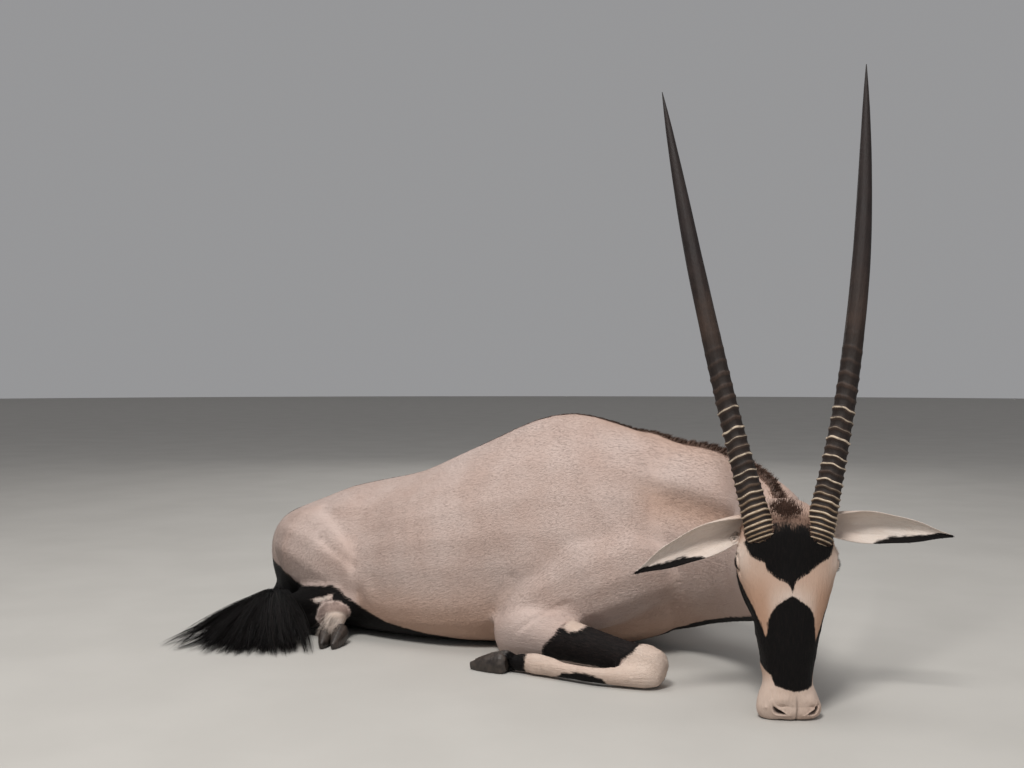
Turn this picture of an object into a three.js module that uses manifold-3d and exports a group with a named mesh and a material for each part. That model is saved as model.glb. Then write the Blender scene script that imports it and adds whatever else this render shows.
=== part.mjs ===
import * as THREE from "three";
import { mergeVertices } from "three/addons/utils/BufferGeometryUtils.js";
import Module from "manifold-3d";

// A gemsbok bull at rest: it lies on its chest and belly with all four legs folded, the neck turned
// to its right and the head set upright on the muzzle, so that the long horns point at the sky.
//
// Millimetres. The origin is on the floor under the chest, in the trunk's own middle plane.
// +X runs along the trunk to the front, +Y to the animal's left, and +Z is up. The floor is z = 0.

const wasm = await Module();
wasm.setup();
const V = (x, y, z) => new THREE.Vector3(x, y, z);

// Driving dimensions
const GAP = 0.3; // left between neighbouring pieces
const TRUNK_REAR = -744;
const WITHERS_HEIGHT = 541;
const HORN_BASE_RADIUS = 28;
const EAR_LENGTH = 252;
const EYE_RADIUS = 17.5;
const FACE_LENGTH = 312; // from the brow to the tip of the muzzle
const TUFT_LOCKS = 26;
const MANE_LOCKS = 24;

// The head's own frame: x from the brow to the muzzle, y to the animal's left, z out of the face.
const BROW = V(664, -428, 303);
const FACING = THREE.MathUtils.degToRad(-68); // the way that the face looks, in the plan
const HEAD_TILT = THREE.MathUtils.degToRad(11); // the muzzle stands this much ahead of the brow
const HEAD_ROLL = THREE.MathUtils.degToRad(1.9); // and this much to the animal's right of it
const HEAD_FRAME = headFrame();

function headFrame() {
  const ahead = V(Math.cos(FACING), Math.sin(FACING), 0);
  const left = V(-Math.sin(FACING), Math.cos(FACING), 0);
  const down = ahead.clone().multiplyScalar(Math.sin(HEAD_TILT));
  down.z = -Math.cos(HEAD_TILT);
  const out = down.clone().cross(left);
  down.applyAxisAngle(out, -HEAD_ROLL);
  left.applyAxisAngle(out, -HEAD_ROLL);
  return new THREE.Matrix4().makeBasis(down, left, out).setPosition(BROW);
}

const onHead = (x, y, z) => V(x, y, z).applyMatrix4(HEAD_FRAME);
const alongHead = (x, y, z) => V(x, y, z).transformDirection(HEAD_FRAME);

// Closed meshes and solids

function solidOf(geometry) {
  const plain = geometry.index ? geometry.toNonIndexed() : geometry.clone();
  const bare = new THREE.BufferGeometry().setAttribute("position", plain.getAttribute("position"));
  const merged = mergeVertices(bare, 1e-3);
  return new wasm.Manifold(
    new wasm.Mesh({
      numProp: 3,
      vertProperties: merged.attributes.position.array,
      triVerts: new Uint32Array(merged.index.array),
    }),
  );
}

// The same, for a surface that may have come out wound inwards.
function outwardSolidOf(geometry) {
  const solid = solidOf(geometry);
  if (solid.volume() > 0) return solid;
  const flipped = geometry.clone();
  const { array } = flipped.index;
  for (let i = 0; i < array.length; i += 3) [array[i], array[i + 1]] = [array[i + 1], array[i]];
  return solidOf(flipped);
}

function geometryOf(solid) {
  const mesh = solid.getMesh();
  const positions = new Float32Array(mesh.numVert * 3);
  for (let i = 0; i < mesh.numVert; i++)
    positions.set(mesh.vertProperties.subarray(i * mesh.numProp, i * mesh.numProp + 3), i * 3);
  const geometry = new THREE.BufferGeometry();
  geometry.setAttribute("position", new THREE.BufferAttribute(positions, 3));
  geometry.setIndex(new THREE.BufferAttribute(mesh.triVerts, 1));
  geometry.computeVertexNormals();
  return geometry;
}

const union = (solids) => solids.reduce((all, one) => all.add(one));
const without = (solid, cutters) => cutters.reduce((left, cutter) => left.subtract(cutter), solid);

function largest(solid) {
  return solid.decompose().reduce((best, one) => (one.volume() > best.volume() ? one : best));
}

// Everything under the given height, and everything on the far side of a plane.
const BIG = 4000;

function below(height) {
  return solidOf(new THREE.BoxGeometry(BIG, BIG, BIG).translate(0, 0, height - BIG / 2));
}

function beyond(point, normal) {
  const turn = new THREE.Quaternion().setFromUnitVectors(V(0, 0, 1), normal.clone().normalize());
  const box = new THREE.BoxGeometry(BIG, BIG, BIG).translate(0, 0, BIG / 2).applyQuaternion(turn);
  return solidOf(box.translate(point.x, point.y, point.z));
}

const FLOOR = below(0);

function ellipsoid(at, radii, turn = new THREE.Quaternion(), wide = 14, high = 9) {
  const ball = new THREE.SphereGeometry(1, wide, high).scale(radii.x, radii.y, radii.z);
  return ball.applyQuaternion(turn).translate(at.x, at.y, at.z);
}

// Lofts. A row is [x, y, z, half width, rise, drop, squareness of the top, of the bottom].

const ROUND = 2;

function catmull(a, b, c, d, t) {
  return 0.5 * (2 * b + (c - a) * t + (2 * a - 5 * b + 4 * c - d) * t * t + (3 * b - a - 3 * c + d) * t ** 3);
}

function smoothed(rows, perGap) {
  const full = rows.map((r) => [...r, ...[0, 0, 0, 0, 0, 0, ROUND, ROUND].slice(r.length)]);
  const at = (i) => full[Math.min(Math.max(i, 0), full.length - 1)];
  const out = [];
  for (let i = 0; i < full.length - 1; i++)
    for (let k = 0; k < perGap; k++)
      out.push(at(i).map((_, j) => catmull(at(i - 1)[j], at(i)[j], at(i + 1)[j], at(i + 2)[j], k / perGap)));
  out.push(full[full.length - 1]);
  return out;
}

const FORWARD = () => [V(0, 1, 0), V(0, 0, 1)]; // sections square to +X

function followCurve(upHint) {
  return (rows, i) => {
    const before = rows[Math.max(i - 1, 0)];
    const after = rows[Math.min(i + 1, rows.length - 1)];
    const tangent = V(after[0] - before[0], after[1] - before[1], after[2] - before[2]).normalize();
    const up = upHint.clone().addScaledVector(tangent, -upHint.dot(tangent)).normalize();
    return [up.clone().cross(tangent), up];
  };
}

function sectionPoint(row, angle, grow) {
  const [c, s] = [Math.cos(angle), Math.sin(angle)];
  const power = 2 / (s >= 0 ? row[6] : row[7]);
  const across = (row[3] + grow) * Math.sign(c) * Math.abs(c) ** power;
  const upward = ((s >= 0 ? row[4] : row[5]) + grow) * Math.sign(s) * Math.abs(s) ** power;
  return [across, upward];
}

function loft(rows, { perGap = 2, sides = 16, frames = FORWARD, grow = 0, turn = 0 } = {}) {
  const fine = smoothed(rows, perGap);
  const points = [];
  fine.forEach((row, i) => {
    const [side, up] = frames(fine, i);
    for (let j = 0; j < sides; j++) {
      const [across, upward] = sectionPoint(row, (2 * Math.PI * j) / sides + turn, grow);
      points.push(V(row[0], row[1], row[2]).addScaledVector(side, across).addScaledVector(up, upward));
    }
  });
  return closedTube(points, fine.map((r) => V(r[0], r[1], r[2])), sides, grow);
}

// Rings of points, each with as many sides, closed at both ends by a fan round the end ring's centre.
function closedTube(points, centres, sides, grow = 0) {
  const rings = centres.length;
  const [first, last] = [centres[0].clone(), centres[rings - 1].clone()];
  const outStart = first.clone().sub(centres[1]).normalize();
  const outEnd = last.clone().sub(centres[rings - 2]).normalize();
  const all = [...points, first.addScaledVector(outStart, grow), last.addScaledVector(outEnd, grow)];
  const faces = [];
  for (let i = 0; i < rings - 1; i++)
    for (let j = 0; j < sides; j++) {
      const [a, b] = [i * sides + j, i * sides + ((j + 1) % sides)];
      faces.push(a, b, b + sides, a, b + sides, a + sides);
    }
  const lastRing = (rings - 1) * sides;
  for (let j = 0; j < sides; j++) {
    const next = (j + 1) % sides;
    faces.push(rings * sides, next, j);
    faces.push(rings * sides + 1, lastRing + j, lastRing + next);
  }
  const geometry = new THREE.BufferGeometry().setFromPoints(all);
  geometry.setIndex(faces);
  return geometry;
}

// Pushes the surface out (or in, for a negative height) round each spot, as muscles and bones do.
function swell(geometry, spots) {
  geometry.computeVertexNormals();
  const { position, normal } = geometry.attributes;
  for (let i = 0; i < position.count; i++) {
    const p = V(0, 0, 0).fromBufferAttribute(position, i);
    const n = V(0, 0, 0).fromBufferAttribute(normal, i);
    let height = 0;
    for (const [at, reach, rise] of spots) {
      const d = p.clone().sub(at).divide(reach).lengthSq();
      height += rise * Math.exp(-d);
    }
    p.addScaledVector(n, height);
    position.setXYZ(i, p.x, p.y, p.z);
  }
  geometry.deleteAttribute("normal");
  return geometry;
}

const mirrored = (v) => V(v.x, -v.y, v.z);
const bothSides = (spots) => spots.flatMap(([at, reach, rise]) => [[at, reach, rise], [mirrored(at), reach, rise]]);

// Trunk: sections square to +X. Columns as above, and z is the height of the widest part.

const TRUNK_ROWS = [
  [TRUNK_REAR, 20, 174, 18, 24, 28],
  [-730, 18, 173, 60, 64, 74],
  [-700, 12, 170, 104, 98, 120, 2, 2.1],
  [-650, 6, 167, 140, 122, 160, 2, 2.4],
  [-580, 2, 166, 162, 150, 171, 2, 2.8],
  [-500, 0, 168, 184, 178, 173, 2, 3.3],
  [-400, 0, 172, 210, 196, 177, 2, 3.8],
  [-300, 0, 178, 234, 213, 183, 2, 3.8],
  [-200, 0, 186, 248, 249, 191, 1.9, 3.7],
  [-100, 0, 194, 248, 285, 199, 1.85, 3.4],
  [0, 0, 204, 234, 319, 209, 1.8, 2.9],
  [100, 0, 214, 216, WITHERS_HEIGHT - 214, 218, 1.75, 2.4],
  [200, 0, 224, 200, 296, 228, 1.8, 2.1],
  [290, -4, 232, 178, 256, 214],
  [360, -10, 236, 142, 212, 186],
  [410, -18, 240, 88, 150, 130],
  [432, -22, 242, 28, 50, 44],
];

const HIP_BONE = [V(-470, -150, 300), V(60, 55, 50), 12];
const RUMP_MUSCLE = [V(-620, -120, 230), V(90, 70, 70), 10];
const FLANK_HOLLOW = [V(-390, -215, 270), V(70, 60, 60), -12];
const BEHIND_ELBOW = [V(-40, -235, 150), V(50, 60, 110), -9];

const trunk = (grow = 0) =>
  solidOf(
    swell(
      loft(TRUNK_ROWS, { perGap: 2, sides: 24, grow }),
      bothSides([HIP_BONE, RUMP_MUSCLE, FLANK_HOLLOW, BEHIND_ELBOW]),
    ),
  );

// Neck: from deep inside the chest, turning right, to the back of the head.

const NECK_ROWS = [
  [150, 0, 300, 150, 190, 230, 1.9, 2],
  [250, -3, 290, 152, 212, 255, 1.8, 2],
  [350, -18, 282, 142, 196, 240, 1.75, 2],
  [440, -62, 280, 126, 188, 208, 1.7, 1.9],
  [518, -128, 278, 108, 170, 180, 1.7, 1.9],
  [573, -205, 277, 96, 150, 158, 1.8, 2],
  [610, -285, 276, 85, 134, 136],
  [632, -345, 280, 72, 112, 104],
];

const neckBlank = (grow = 0) =>
  solidOf(loft(NECK_ROWS, { perGap: 2, sides: 18, grow, frames: followCurve(V(0, 0, 1)) }));

// The cut between the torso and the neck
const COLLAR_POINT = V(395, -60, 270);
const COLLAR_NORMAL = V(0.86, -0.5, 0.08);

// Head, in its own frame. Columns as above: z is the height of the widest part.

const HEAD_ROWS = [
  [-108, 0, -78, 12, 14, 16],
  [-100, 0, -74, 46, 38, 48],
  [-78, 0, -66, 70, 52, 82, 2.2, 2],
  [-45, 0, -58, 84, 60, 112, 2.5, 1.9],
  [-10, 0, -54, 91, 55, 126, 2.7, 1.75],
  [25, 0, -52, 91, 52, 122, 2.7, 1.6],
  [60, 0, -50, 86, 49, 112, 2.6, 1.6],
  [95, 0, -48, 76, 45, 98, 2.5, 1.7],
  [130, 0, -46, 66, 41, 84, 2.4, 1.8],
  [165, 0, -45, 58, 38, 72, 2.3, 1.9],
  [200, 0, -44, 50, 35, 62, 2.2, 2],
  [232, 0, -44, 45, 32, 54, 2.2, 2.1],
  [258, 0, -45, 54, 29, 50, 2.3, 2.2],
  [280, 0, -46, 60, 26, 46, 2.3, 2.2],
  [298, 0, -47, 56, 22, 40, 2.2, 2.2],
  [308, 0, -47, 38, 15, 27, 2.2, 2.2],
  [FACE_LENGTH, 0, -48, 14, 6, 10],
];

const EYE_AT = V(18, -79, -47); // the right eye
const NOSTRIL_AT = V(286, -38, -25);
const BROW_RIM = [V(10, -94, -38), V(24, 16, 18), 9];
const CHEEK_BONE = [V(70, -74, -66), V(38, 20, 13), 6];
const CHEEK = [V(18, -70, -112), V(45, 30, 34), 8];
const FACE_HOLLOW = [V(120, -60, -60), V(40, 22, 18), -5];
const NOSTRIL_WING = [V(276, -44, -26), V(16, 14, 13), 5];
const UPPER_LIP = [V(280, -46, -52), V(24, 14, 11), 4];
const CHIN = [V(272, 0, -96), V(22, 30, 16), 5];

const headBlank = (grow = 0) =>
  solidOf(
    swell(
      loft(HEAD_ROWS, { perGap: 1, sides: 26, grow }),
      [...bothSides([BROW_RIM, CHEEK_BONE, CHEEK, FACE_HOLLOW, NOSTRIL_WING, UPPER_LIP]), CHIN],
    ).applyMatrix4(HEAD_FRAME),
  );

const LID_THICKNESS = 3.4;
const LID_OPENING = V(15.5, 30, 8.5); // half length along the head, reach outwards, half height
const LID_SLANT = THREE.MathUtils.degToRad(-14);

function eyeBall(side, radius) {
  const at = V(EYE_AT.x, EYE_AT.y * side, EYE_AT.z);
  return solidOf(ellipsoid(at, V(radius, radius, radius)).applyMatrix4(HEAD_FRAME));
}

function lidOpening(side) {
  const slant = new THREE.Quaternion().setFromAxisAngle(V(0, 1, 0), LID_SLANT);
  const at = V(EYE_AT.x, (EYE_AT.y - EYE_RADIUS - 6) * side, EYE_AT.z);
  return solidOf(ellipsoid(at, LID_OPENING, slant, 12, 8).applyMatrix4(HEAD_FRAME));
}

const MOUTH_CORNER = 208;
const MOUTH_GAP = 2.2;
const LIP_DEPTH = 7;

// The line of the mouth: a thin slot all round the muzzle, as deep as the lips.
function mouthSlot() {
  const reach = FACE_LENGTH + 20 - MOUTH_CORNER;
  const slab = new THREE.BoxGeometry(reach, 200, MOUTH_GAP, 8, 1, 1);
  slab.translate(MOUTH_CORNER + reach / 2, 0, 0);
  const { position } = slab.attributes;
  for (let i = 0; i < position.count; i++) {
    const along = (position.getX(i) - MOUTH_CORNER) / reach;
    position.setZ(i, position.getZ(i) - 63 - 9 * Math.sin(Math.PI * along) - 4 * along);
  }
  return solidOf(slab.applyMatrix4(HEAD_FRAME)).subtract(headBlank(-LIP_DEPTH));
}

function nostril(side) {
  const turn = new THREE.Quaternion().setFromEuler(new THREE.Euler(0.5 * side, -0.5, 0.7 * side));
  const at = V(NOSTRIL_AT.x, NOSTRIL_AT.y * side, NOSTRIL_AT.z);
  return solidOf(ellipsoid(at, V(13, 6, 8), turn, 10, 6).applyMatrix4(HEAD_FRAME));
}

const SIDES = { right: 1, left: -1 };

function head() {
  const lids = Object.values(SIDES).map((side) => eyeBall(side, EYE_RADIUS + LID_THICKNESS));
  const cutters = Object.values(SIDES).flatMap((side) => [
    eyeBall(side, EYE_RADIUS + GAP),
    lidOpening(side),
    nostril(side),
  ]);
  return without(union([headBlank(), ...lids]), [...cutters, mouthSlot(), FLOOR]);
}

// Ears: thin cups, each opened towards the front.

// Share of the length, radius of the cup's wall, half of the angle it spans
const EAR_ROWS = [
  [0, 17, 2.3],
  [0.1, 21, 2.2],
  [0.22, 27, 1.75],
  [0.36, 31, 1.4],
  [0.52, 31, 1.2],
  [0.66, 27, 1.1],
  [0.79, 20, 1.0],
  [0.9, 11, 0.9],
  [1, 2.5, 0.8],
];
const EAR_ACROSS = 6;
const EARS = {
  right: { root: [-62, -58, -64], tip: [48, -286, -50], opensTo: [0.35, -0.1, 1] },
  left: { root: [-62, 58, -64], tip: [-40, 304, -20], opensTo: [0.3, -0.25, 1] },
};

function ear({ root, tip, opensTo }) {
  const start = onHead(...root);
  const axis = onHead(...tip).sub(start).normalize();
  const cup = alongHead(...opensTo);
  cup.addScaledVector(axis, -cup.dot(axis)).normalize();
  const across = axis.clone().cross(cup);
  const layers = [1, -1].map((face) =>
    EAR_ROWS.flatMap(([share, radius, half]) => {
      const centre = start.clone().addScaledVector(axis, share * EAR_LENGTH);
      centre.addScaledVector(cup, radius * 0.5 - 10 * Math.sin(Math.PI * share));
      return Array.from({ length: EAR_ACROSS + 1 }, (_, j) => {
        const angle = half * ((2 * j) / EAR_ACROSS - 1);
        const thick = (3.2 - 1.8 * share) * (1 - 0.45 * Math.abs(angle / half));
        const r = radius + face * Math.min(thick, radius * 0.45);
        return centre.clone().addScaledVector(across, r * Math.sin(angle)).addScaledVector(cup, -r * Math.cos(angle));
      });
    }),
  );
  return outwardSolidOf(closedShell(layers[0], layers[1], EAR_ROWS.length, EAR_ACROSS + 1));
}

// Two grids of the same size, an outer and an inner face, joined round the rim.
function closedShell(outer, inner, rows, columns) {
  const faces = [];
  const at = (layer, i, j) => layer * rows * columns + i * columns + j;
  const quad = (a, b, c, d) => faces.push(a, b, c, a, c, d);
  for (let i = 0; i < rows - 1; i++)
    for (let j = 0; j < columns - 1; j++) {
      quad(at(0, i, j), at(0, i, j + 1), at(0, i + 1, j + 1), at(0, i + 1, j));
      faces.push(at(1, i, j), at(1, i + 1, j + 1), at(1, i, j + 1));
      faces.push(at(1, i, j), at(1, i + 1, j), at(1, i + 1, j + 1));
    }
  for (let i = 0; i < rows - 1; i++) {
    quad(at(0, i, 0), at(0, i + 1, 0), at(1, i + 1, 0), at(1, i, 0));
    const j = columns - 1;
    quad(at(0, i, j), at(1, i, j), at(1, i + 1, j), at(0, i + 1, j));
  }
  for (let j = 0; j < columns - 1; j++) {
    quad(at(0, 0, j), at(1, 0, j), at(1, 0, j + 1), at(0, 0, j + 1));
    const i = rows - 1;
    quad(at(0, i, j), at(0, i, j + 1), at(1, i, j + 1), at(1, i, j));
  }
  const geometry = new THREE.BufferGeometry().setFromPoints([...outer, ...inner]);
  geometry.setIndex(faces);
  return geometry;
}

// Horns: a long, nearly straight taper with rings round the lower part.

const HORN_SIDES = 9;
const RING_COUNT = 23;
const FIRST_RING_STEP = 9.5;
const RING_STEP_GROWTH = 1.052;
const RING_HEIGHT = 2.4;
const HORN_SINK = 26;
const HORNS = {
  right: { base: [-30, -52, -22], length: 954, spread: 9.4, rake: 17.5, bow: 12 },
  left: { base: [-30, 52, -22], length: 976, spread: 9.4, rake: 12.5, bow: 31 },
};

// Share of the length, share of the base radius
const HORN_TAPER = [
  [0, 1],
  [0.06, 0.88],
  [0.14, 0.77],
  [0.22, 0.71],
  [0.3, 0.685],
  [0.46, 0.655],
  [0.55, 0.63],
  [0.64, 0.58],
  [0.72, 0.51],
  [0.81, 0.405],
  [0.9, 0.265],
  [0.95, 0.16],
  [1, 0.03],
];

function taper(share) {
  const next = Math.max(1, HORN_TAPER.findIndex(([s]) => s >= share));
  const [[s0, r0], [s1, r1]] = [HORN_TAPER[next - 1], HORN_TAPER[next]];
  return r0 + ((r1 - r0) * (share - s0)) / (s1 - s0);
}

function ringPlaces() {
  const places = [];
  let [at, step] = [6, FIRST_RING_STEP];
  for (let i = 0; i < RING_COUNT; i++) {
    places.push([at, step]);
    at += step;
    step *= RING_STEP_GROWTH;
  }
  return places;
}

// [distance from the base, ring height] down the horn: a foot and a crest for each ring, then the smooth part.
function hornStations(length) {
  const stations = [[-HORN_SINK, 0]];
  ringPlaces().forEach(([at, step], i) => {
    const height = RING_HEIGHT * Math.min(1, (RING_COUNT - i) / 7);
    stations.push([at, 0], [at + step * 0.45, height]);
  });
  const ringed = stations[stations.length - 1][0];
  for (const share of [0.06, 0.2, 0.35, 0.5, 0.65, 0.8, 0.9, 0.97, 1])
    stations.push([ringed + (length - ringed) * share, 0]);
  return stations;
}

function horn({ base, length, spread, rake, bow }, side, grow = 0) {
  const start = onHead(...base);
  const [out, back] = [alongHead(0, -side, 0), alongHead(0, 0, -1)];
  const up = V(0, 0, 1);
  const axis = up.addScaledVector(out, Math.tan(THREE.MathUtils.degToRad(spread)));
  const level = V(back.x, back.y, 0).normalize();
  axis.addScaledVector(level, Math.tan(THREE.MathUtils.degToRad(rake))).normalize();
  const across = out.clone().addScaledVector(axis, -out.dot(axis)).normalize();
  const through = across.clone().cross(axis);
  const centres = [];
  const points = [];
  for (const [distance, height] of hornStations(length)) {
    const share = Math.max(0, distance / length);
    const centre = start.clone().addScaledVector(axis, distance);
    centre.addScaledVector(across, bow * Math.sin(Math.PI * Math.min(1, share) ** 0.9));
    const radius = HORN_BASE_RADIUS * taper(Math.min(1, share)) + height + grow;
    for (let j = 0; j < HORN_SIDES; j++) {
      const angle = (2 * Math.PI * j) / HORN_SIDES;
      const p = centre.clone().addScaledVector(across, radius * Math.cos(angle));
      points.push(p.addScaledVector(through, radius * 1.08 * Math.sin(angle)));
    }
    centres.push(centre);
  }
  return outwardSolidOf(closedTube(points, centres, HORN_SIDES));
}

// Legs. Each is given for the right side; the left side mirrors the rows and then shifts them.

const LEG_ROWS = {
  fore: {
    upper: [
      [
        [352, -112, 214, 58, 74, 82],
        [290, -138, 206, 76, 104, 100],
        [190, -166, 166, 72, 106, 108],
        [92, -188, 118, 58, 78, 84],
        [20, -204, 80, 42, 54, 62],
        [-26, -210, 60, 18, 26, 36],
      ],
      [
        [-16, -212, 58, 26, 38, 56],
        [50, -228, 66, 46, 52, 68],
        [145, -254, 62, 46, 48, 56],
        [245, -286, 55, 37, 38, 44],
        [318, -316, 50, 33, 34, 42],
        [364, -333, 48, 35, 38, 46],
        [394, -344, 46, 28, 31, 46],
        [409, -349, 44, 11, 14, 20],
      ],
    ],
    lower: [
      [396, -352, 27, 15, 15, 24],
      [368, -360, 27, 25, 24, 29],
      [328, -368, 25, 19, 19, 25],
      [262, -372, 23, 16, 16, 22],
      [196, -360, 23, 16, 16, 22],
      [152, -349, 25, 21, 21, 26],
      [122, -342, 26, 23, 23, 28],
      [92, -338, 24, 18, 18, 24],
      [66, -337, 22, 20, 18, 23],
    ],
    foot: { coronet: [64, -337, 21], toe: [-26, -338, 10] },
    dewclaw: [128, -342, 12],
  },
  hind: {
    upper: [
      [
        [-606, -66, 198, 92, 92, 110],
        [-555, -104, 200, 100, 106, 130],
        [-490, -136, 178, 92, 106, 126],
        [-432, -160, 146, 72, 92, 108],
        [-388, -178, 112, 44, 60, 80],
        [-362, -184, 90, 18, 24, 36],
      ],
      [
        [-392, -186, 92, 30, 38, 48],
        [-444, -200, 88, 44, 48, 54],
        [-512, -204, 76, 38, 40, 50],
        [-577, -200, 62, 28, 30, 42],
        [-627, -194, 50, 27, 30, 44],
        [-654, -190, 44, 20, 24, 38],
        [-666, -188, 40, 8, 10, 16],
      ],
    ],
    lower: [
      [-654, -198, 28, 14, 14, 24],
      [-632, -204, 30, 23, 23, 30],
      [-592, -210, 28, 19, 19, 26],
      [-530, -220, 30, 16, 17, 22],
      [-476, -228, 42, 18, 19, 24],
      [-440, -230, 60, 27, 26, 30],
      [-418, -240, 58, 28, 26, 34],
      [-411, -256, 46, 25, 25, 34],
    ],
    foot: { coronet: [-410, -256, 31], toe: [-392, -330, 9] },
    dewclaw: [-444, -222, 26],
  },
};

// The left legs lie a little differently from the right ones.
const LEFT_SHIFT = { fore: V(-14, 12, 0), hind: V(12, 6, 0) };

function placed([x, y, z, ...rest], pair, side) {
  if (side > 0) return [x, y, z, ...rest];
  const shift = LEFT_SHIFT[pair];
  return [x + shift.x, -y + shift.y, z + shift.z, ...rest];
}

const legLoft = (rows, pair, side, grow) =>
  solidOf(
    loft(rows.map((r) => placed(r, pair, side)), { perGap: 1, sides: 12, grow, frames: followCurve(V(0, 0, 1)) }),
  );

const upperLeg = (pair, side, grow = 0) => union(LEG_ROWS[pair].upper.map((rows) => legLoft(rows, pair, side, grow)));

const DEWCLAW = V(15, 9, 10);
const DEWCLAW_SPACING = 14;

function lowerLeg(pair, side, grow = 0) {
  const at = V(...placed(LEG_ROWS[pair].dewclaw, pair, side));
  const size = DEWCLAW.clone().addScalar(grow);
  const dewclaws = [-1, 1].map((which) =>
    solidOf(ellipsoid(at.clone().setY(at.y + which * DEWCLAW_SPACING), size, undefined, 7, 5)),
  );
  return union([legLoft(LEG_ROWS[pair].lower, pair, side, grow), ...dewclaws]);
}

// One claw of the cloven hoof: long and pointed, flat below, high at the heel.
const CLAW_ROWS = [
  // share of the way to the toe, half width, rise, drop
  [0, 15, 21, 24],
  [0.2, 17, 22, 24],
  [0.5, 16, 18, 20],
  [0.8, 10, 10, 16],
  [0.95, 4, 5, 12],
];
const CLAW_SPACING = 17.5;

function claw(pair, side, which) {
  const { coronet, toe } = LEG_ROWS[pair].foot;
  const [start, end] = [coronet, toe].map((p) => placed(p, pair, side));
  const [a, b] = [V(...start), V(...end)];
  const along = b.clone().sub(a).normalize();
  const out = along.clone().cross(V(0, 0, 1)).normalize().multiplyScalar(which * CLAW_SPACING);
  const rows = CLAW_ROWS.map(([share, w, rise, drop]) => {
    const p = a.clone().lerp(b, share).addScaledVector(out, 1 - 0.25 * share);
    return [p.x, p.y, p.z, w, rise, drop, 2, 3];
  });
  const solid = solidOf(loft(rows, { perGap: 1, sides: 9, frames: followCurve(V(0, 0, 1)) }));
  const cleft = a.clone().addScaledVector(out.clone().normalize(), GAP / 2);
  return solid.subtract(beyond(cleft, out.clone().negate()));
}

// Locks of hair: flat, tapered blades that bend along the given points.

function lock(path, width, thickness, flat) {
  const sides = 4;
  const points = [];
  path.forEach((p, i) => {
    const share = i / (path.length - 1);
    const tangent = path[Math.min(i + 1, path.length - 1)].clone().sub(path[Math.max(i - 1, 0)]).normalize();
    const normal = flat.clone().addScaledVector(tangent, -flat.dot(tangent)).normalize();
    const across = normal.clone().cross(tangent);
    const full = Math.sin(Math.PI * (0.28 + 0.72 * share)) ** 0.7;
    const [w, t] = [Math.max(0.6, 0.5 * width * full), Math.max(0.4, 0.5 * thickness * full)];
    points.push(p.clone().addScaledVector(across, w), p.clone().addScaledVector(normal, t));
    points.push(p.clone().addScaledVector(across, -w), p.clone().addScaledVector(normal, -t));
  });
  return outwardSolidOf(closedTube(points, path, sides));
}

function seeded(seed) {
  let state = seed;
  return () => {
    state = (state * 1664525 + 1013904223) % 4294967296;
    return state / 4294967296;
  };
}

// Tail: a thin dock that lies against the right buttock, and the black tuft fanned out on the floor.

const TAIL_ROWS = [
  [-690, 34, 244, 20, 20, 24],
  [-728, 38, 228, 20, 18, 20],
  [-740, 40, 190, 16, 16, 17],
  [-732, 24, 132, 14, 14, 15],
  [-712, -22, 92, 14, 14, 15],
  [-694, -72, 72, 16, 15, 16],
  [-682, -112, 62, 14, 12, 14],
];
const TUFT_ROOT = V(-684, -104, 62);
const TUFT_CORE_ROWS = [
  [-704, -70, 82, 15, 13, 15],
  [-686, -122, 70, 25, 16, 24],
  [-668, -180, 66, 40, 18, 26],
  [-652, -232, 56, 48, 16, 24],
  [-642, -268, 44, 36, 11, 18],
  [-638, -286, 38, 12, 5, 8],
];
const FAN_FROM = THREE.MathUtils.degToRad(-103);
const FAN_TO = THREE.MathUtils.degToRad(-50);
const TUFT_REACH = [326, 388];

function tuftLock(i, random) {
  const share = (i + 0.5 + 0.6 * (random() - 0.5)) / TUFT_LOCKS;
  const layer = i % 3;
  const angle = FAN_FROM + (FAN_TO - FAN_FROM) * share;
  const reach = TUFT_REACH[0] + (TUFT_REACH[1] - TUFT_REACH[0]) * (0.35 * random() + 0.65 * share) - 22 * layer;
  const start = TUFT_ROOT.clone().add(V(30 * (share - 0.5), -14 * layer, 7 - 7 * layer));
  const hump = 46 * share - 14 - 5 * layer; // the hair that passes over the hock stays high for longer
  const heading = V(Math.cos(angle), Math.sin(angle), 0);
  const bend = heading.clone().cross(V(0, 0, 1)).multiplyScalar(18 * (random() - 0.5));
  const path = [0, 0.2, 0.42, 0.64, 0.84, 1].map((t) => {
    const fall = start.z * (1 - t ** 1.3) + 4 * t + hump * Math.sin(Math.PI * t);
    const p = start.clone().addScaledVector(heading, reach * t).addScaledVector(bend, Math.sin(2.6 * t));
    return V(p.x, p.y, fall);
  });
  return lock(path, 30 - 3 * layer, 10, V(0, 0, 1));
}

function tail() {
  const random = seeded(7);
  const curve = followCurve(V(0, 0, 1));
  const dock = solidOf(loft(TAIL_ROWS, { perGap: 2, sides: 10, frames: curve }));
  const core = solidOf(loft(TUFT_CORE_ROWS, { perGap: 1, sides: 10, frames: curve }));
  const locks = Array.from({ length: TUFT_LOCKS }, (_, i) => tuftLock(i, random));
  return union([dock, core, ...locks]);
}

// Mane: short, stiff locks along the crest, standing up and leaning towards the head.

const MANE_LENGTH = 30;

function crestPoint(rows, share) {
  const fine = smoothed(rows, 8);
  const i = Math.min(fine.length - 2, Math.floor(share * (fine.length - 1)));
  const [side, up] = followCurve(V(0, 0, 1))(fine, i);
  const top = V(fine[i][0], fine[i][1], fine[i][2]).addScaledVector(up, fine[i][4]);
  const ahead = up.clone().cross(side).negate();
  return { top, side, up, ahead };
}

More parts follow.
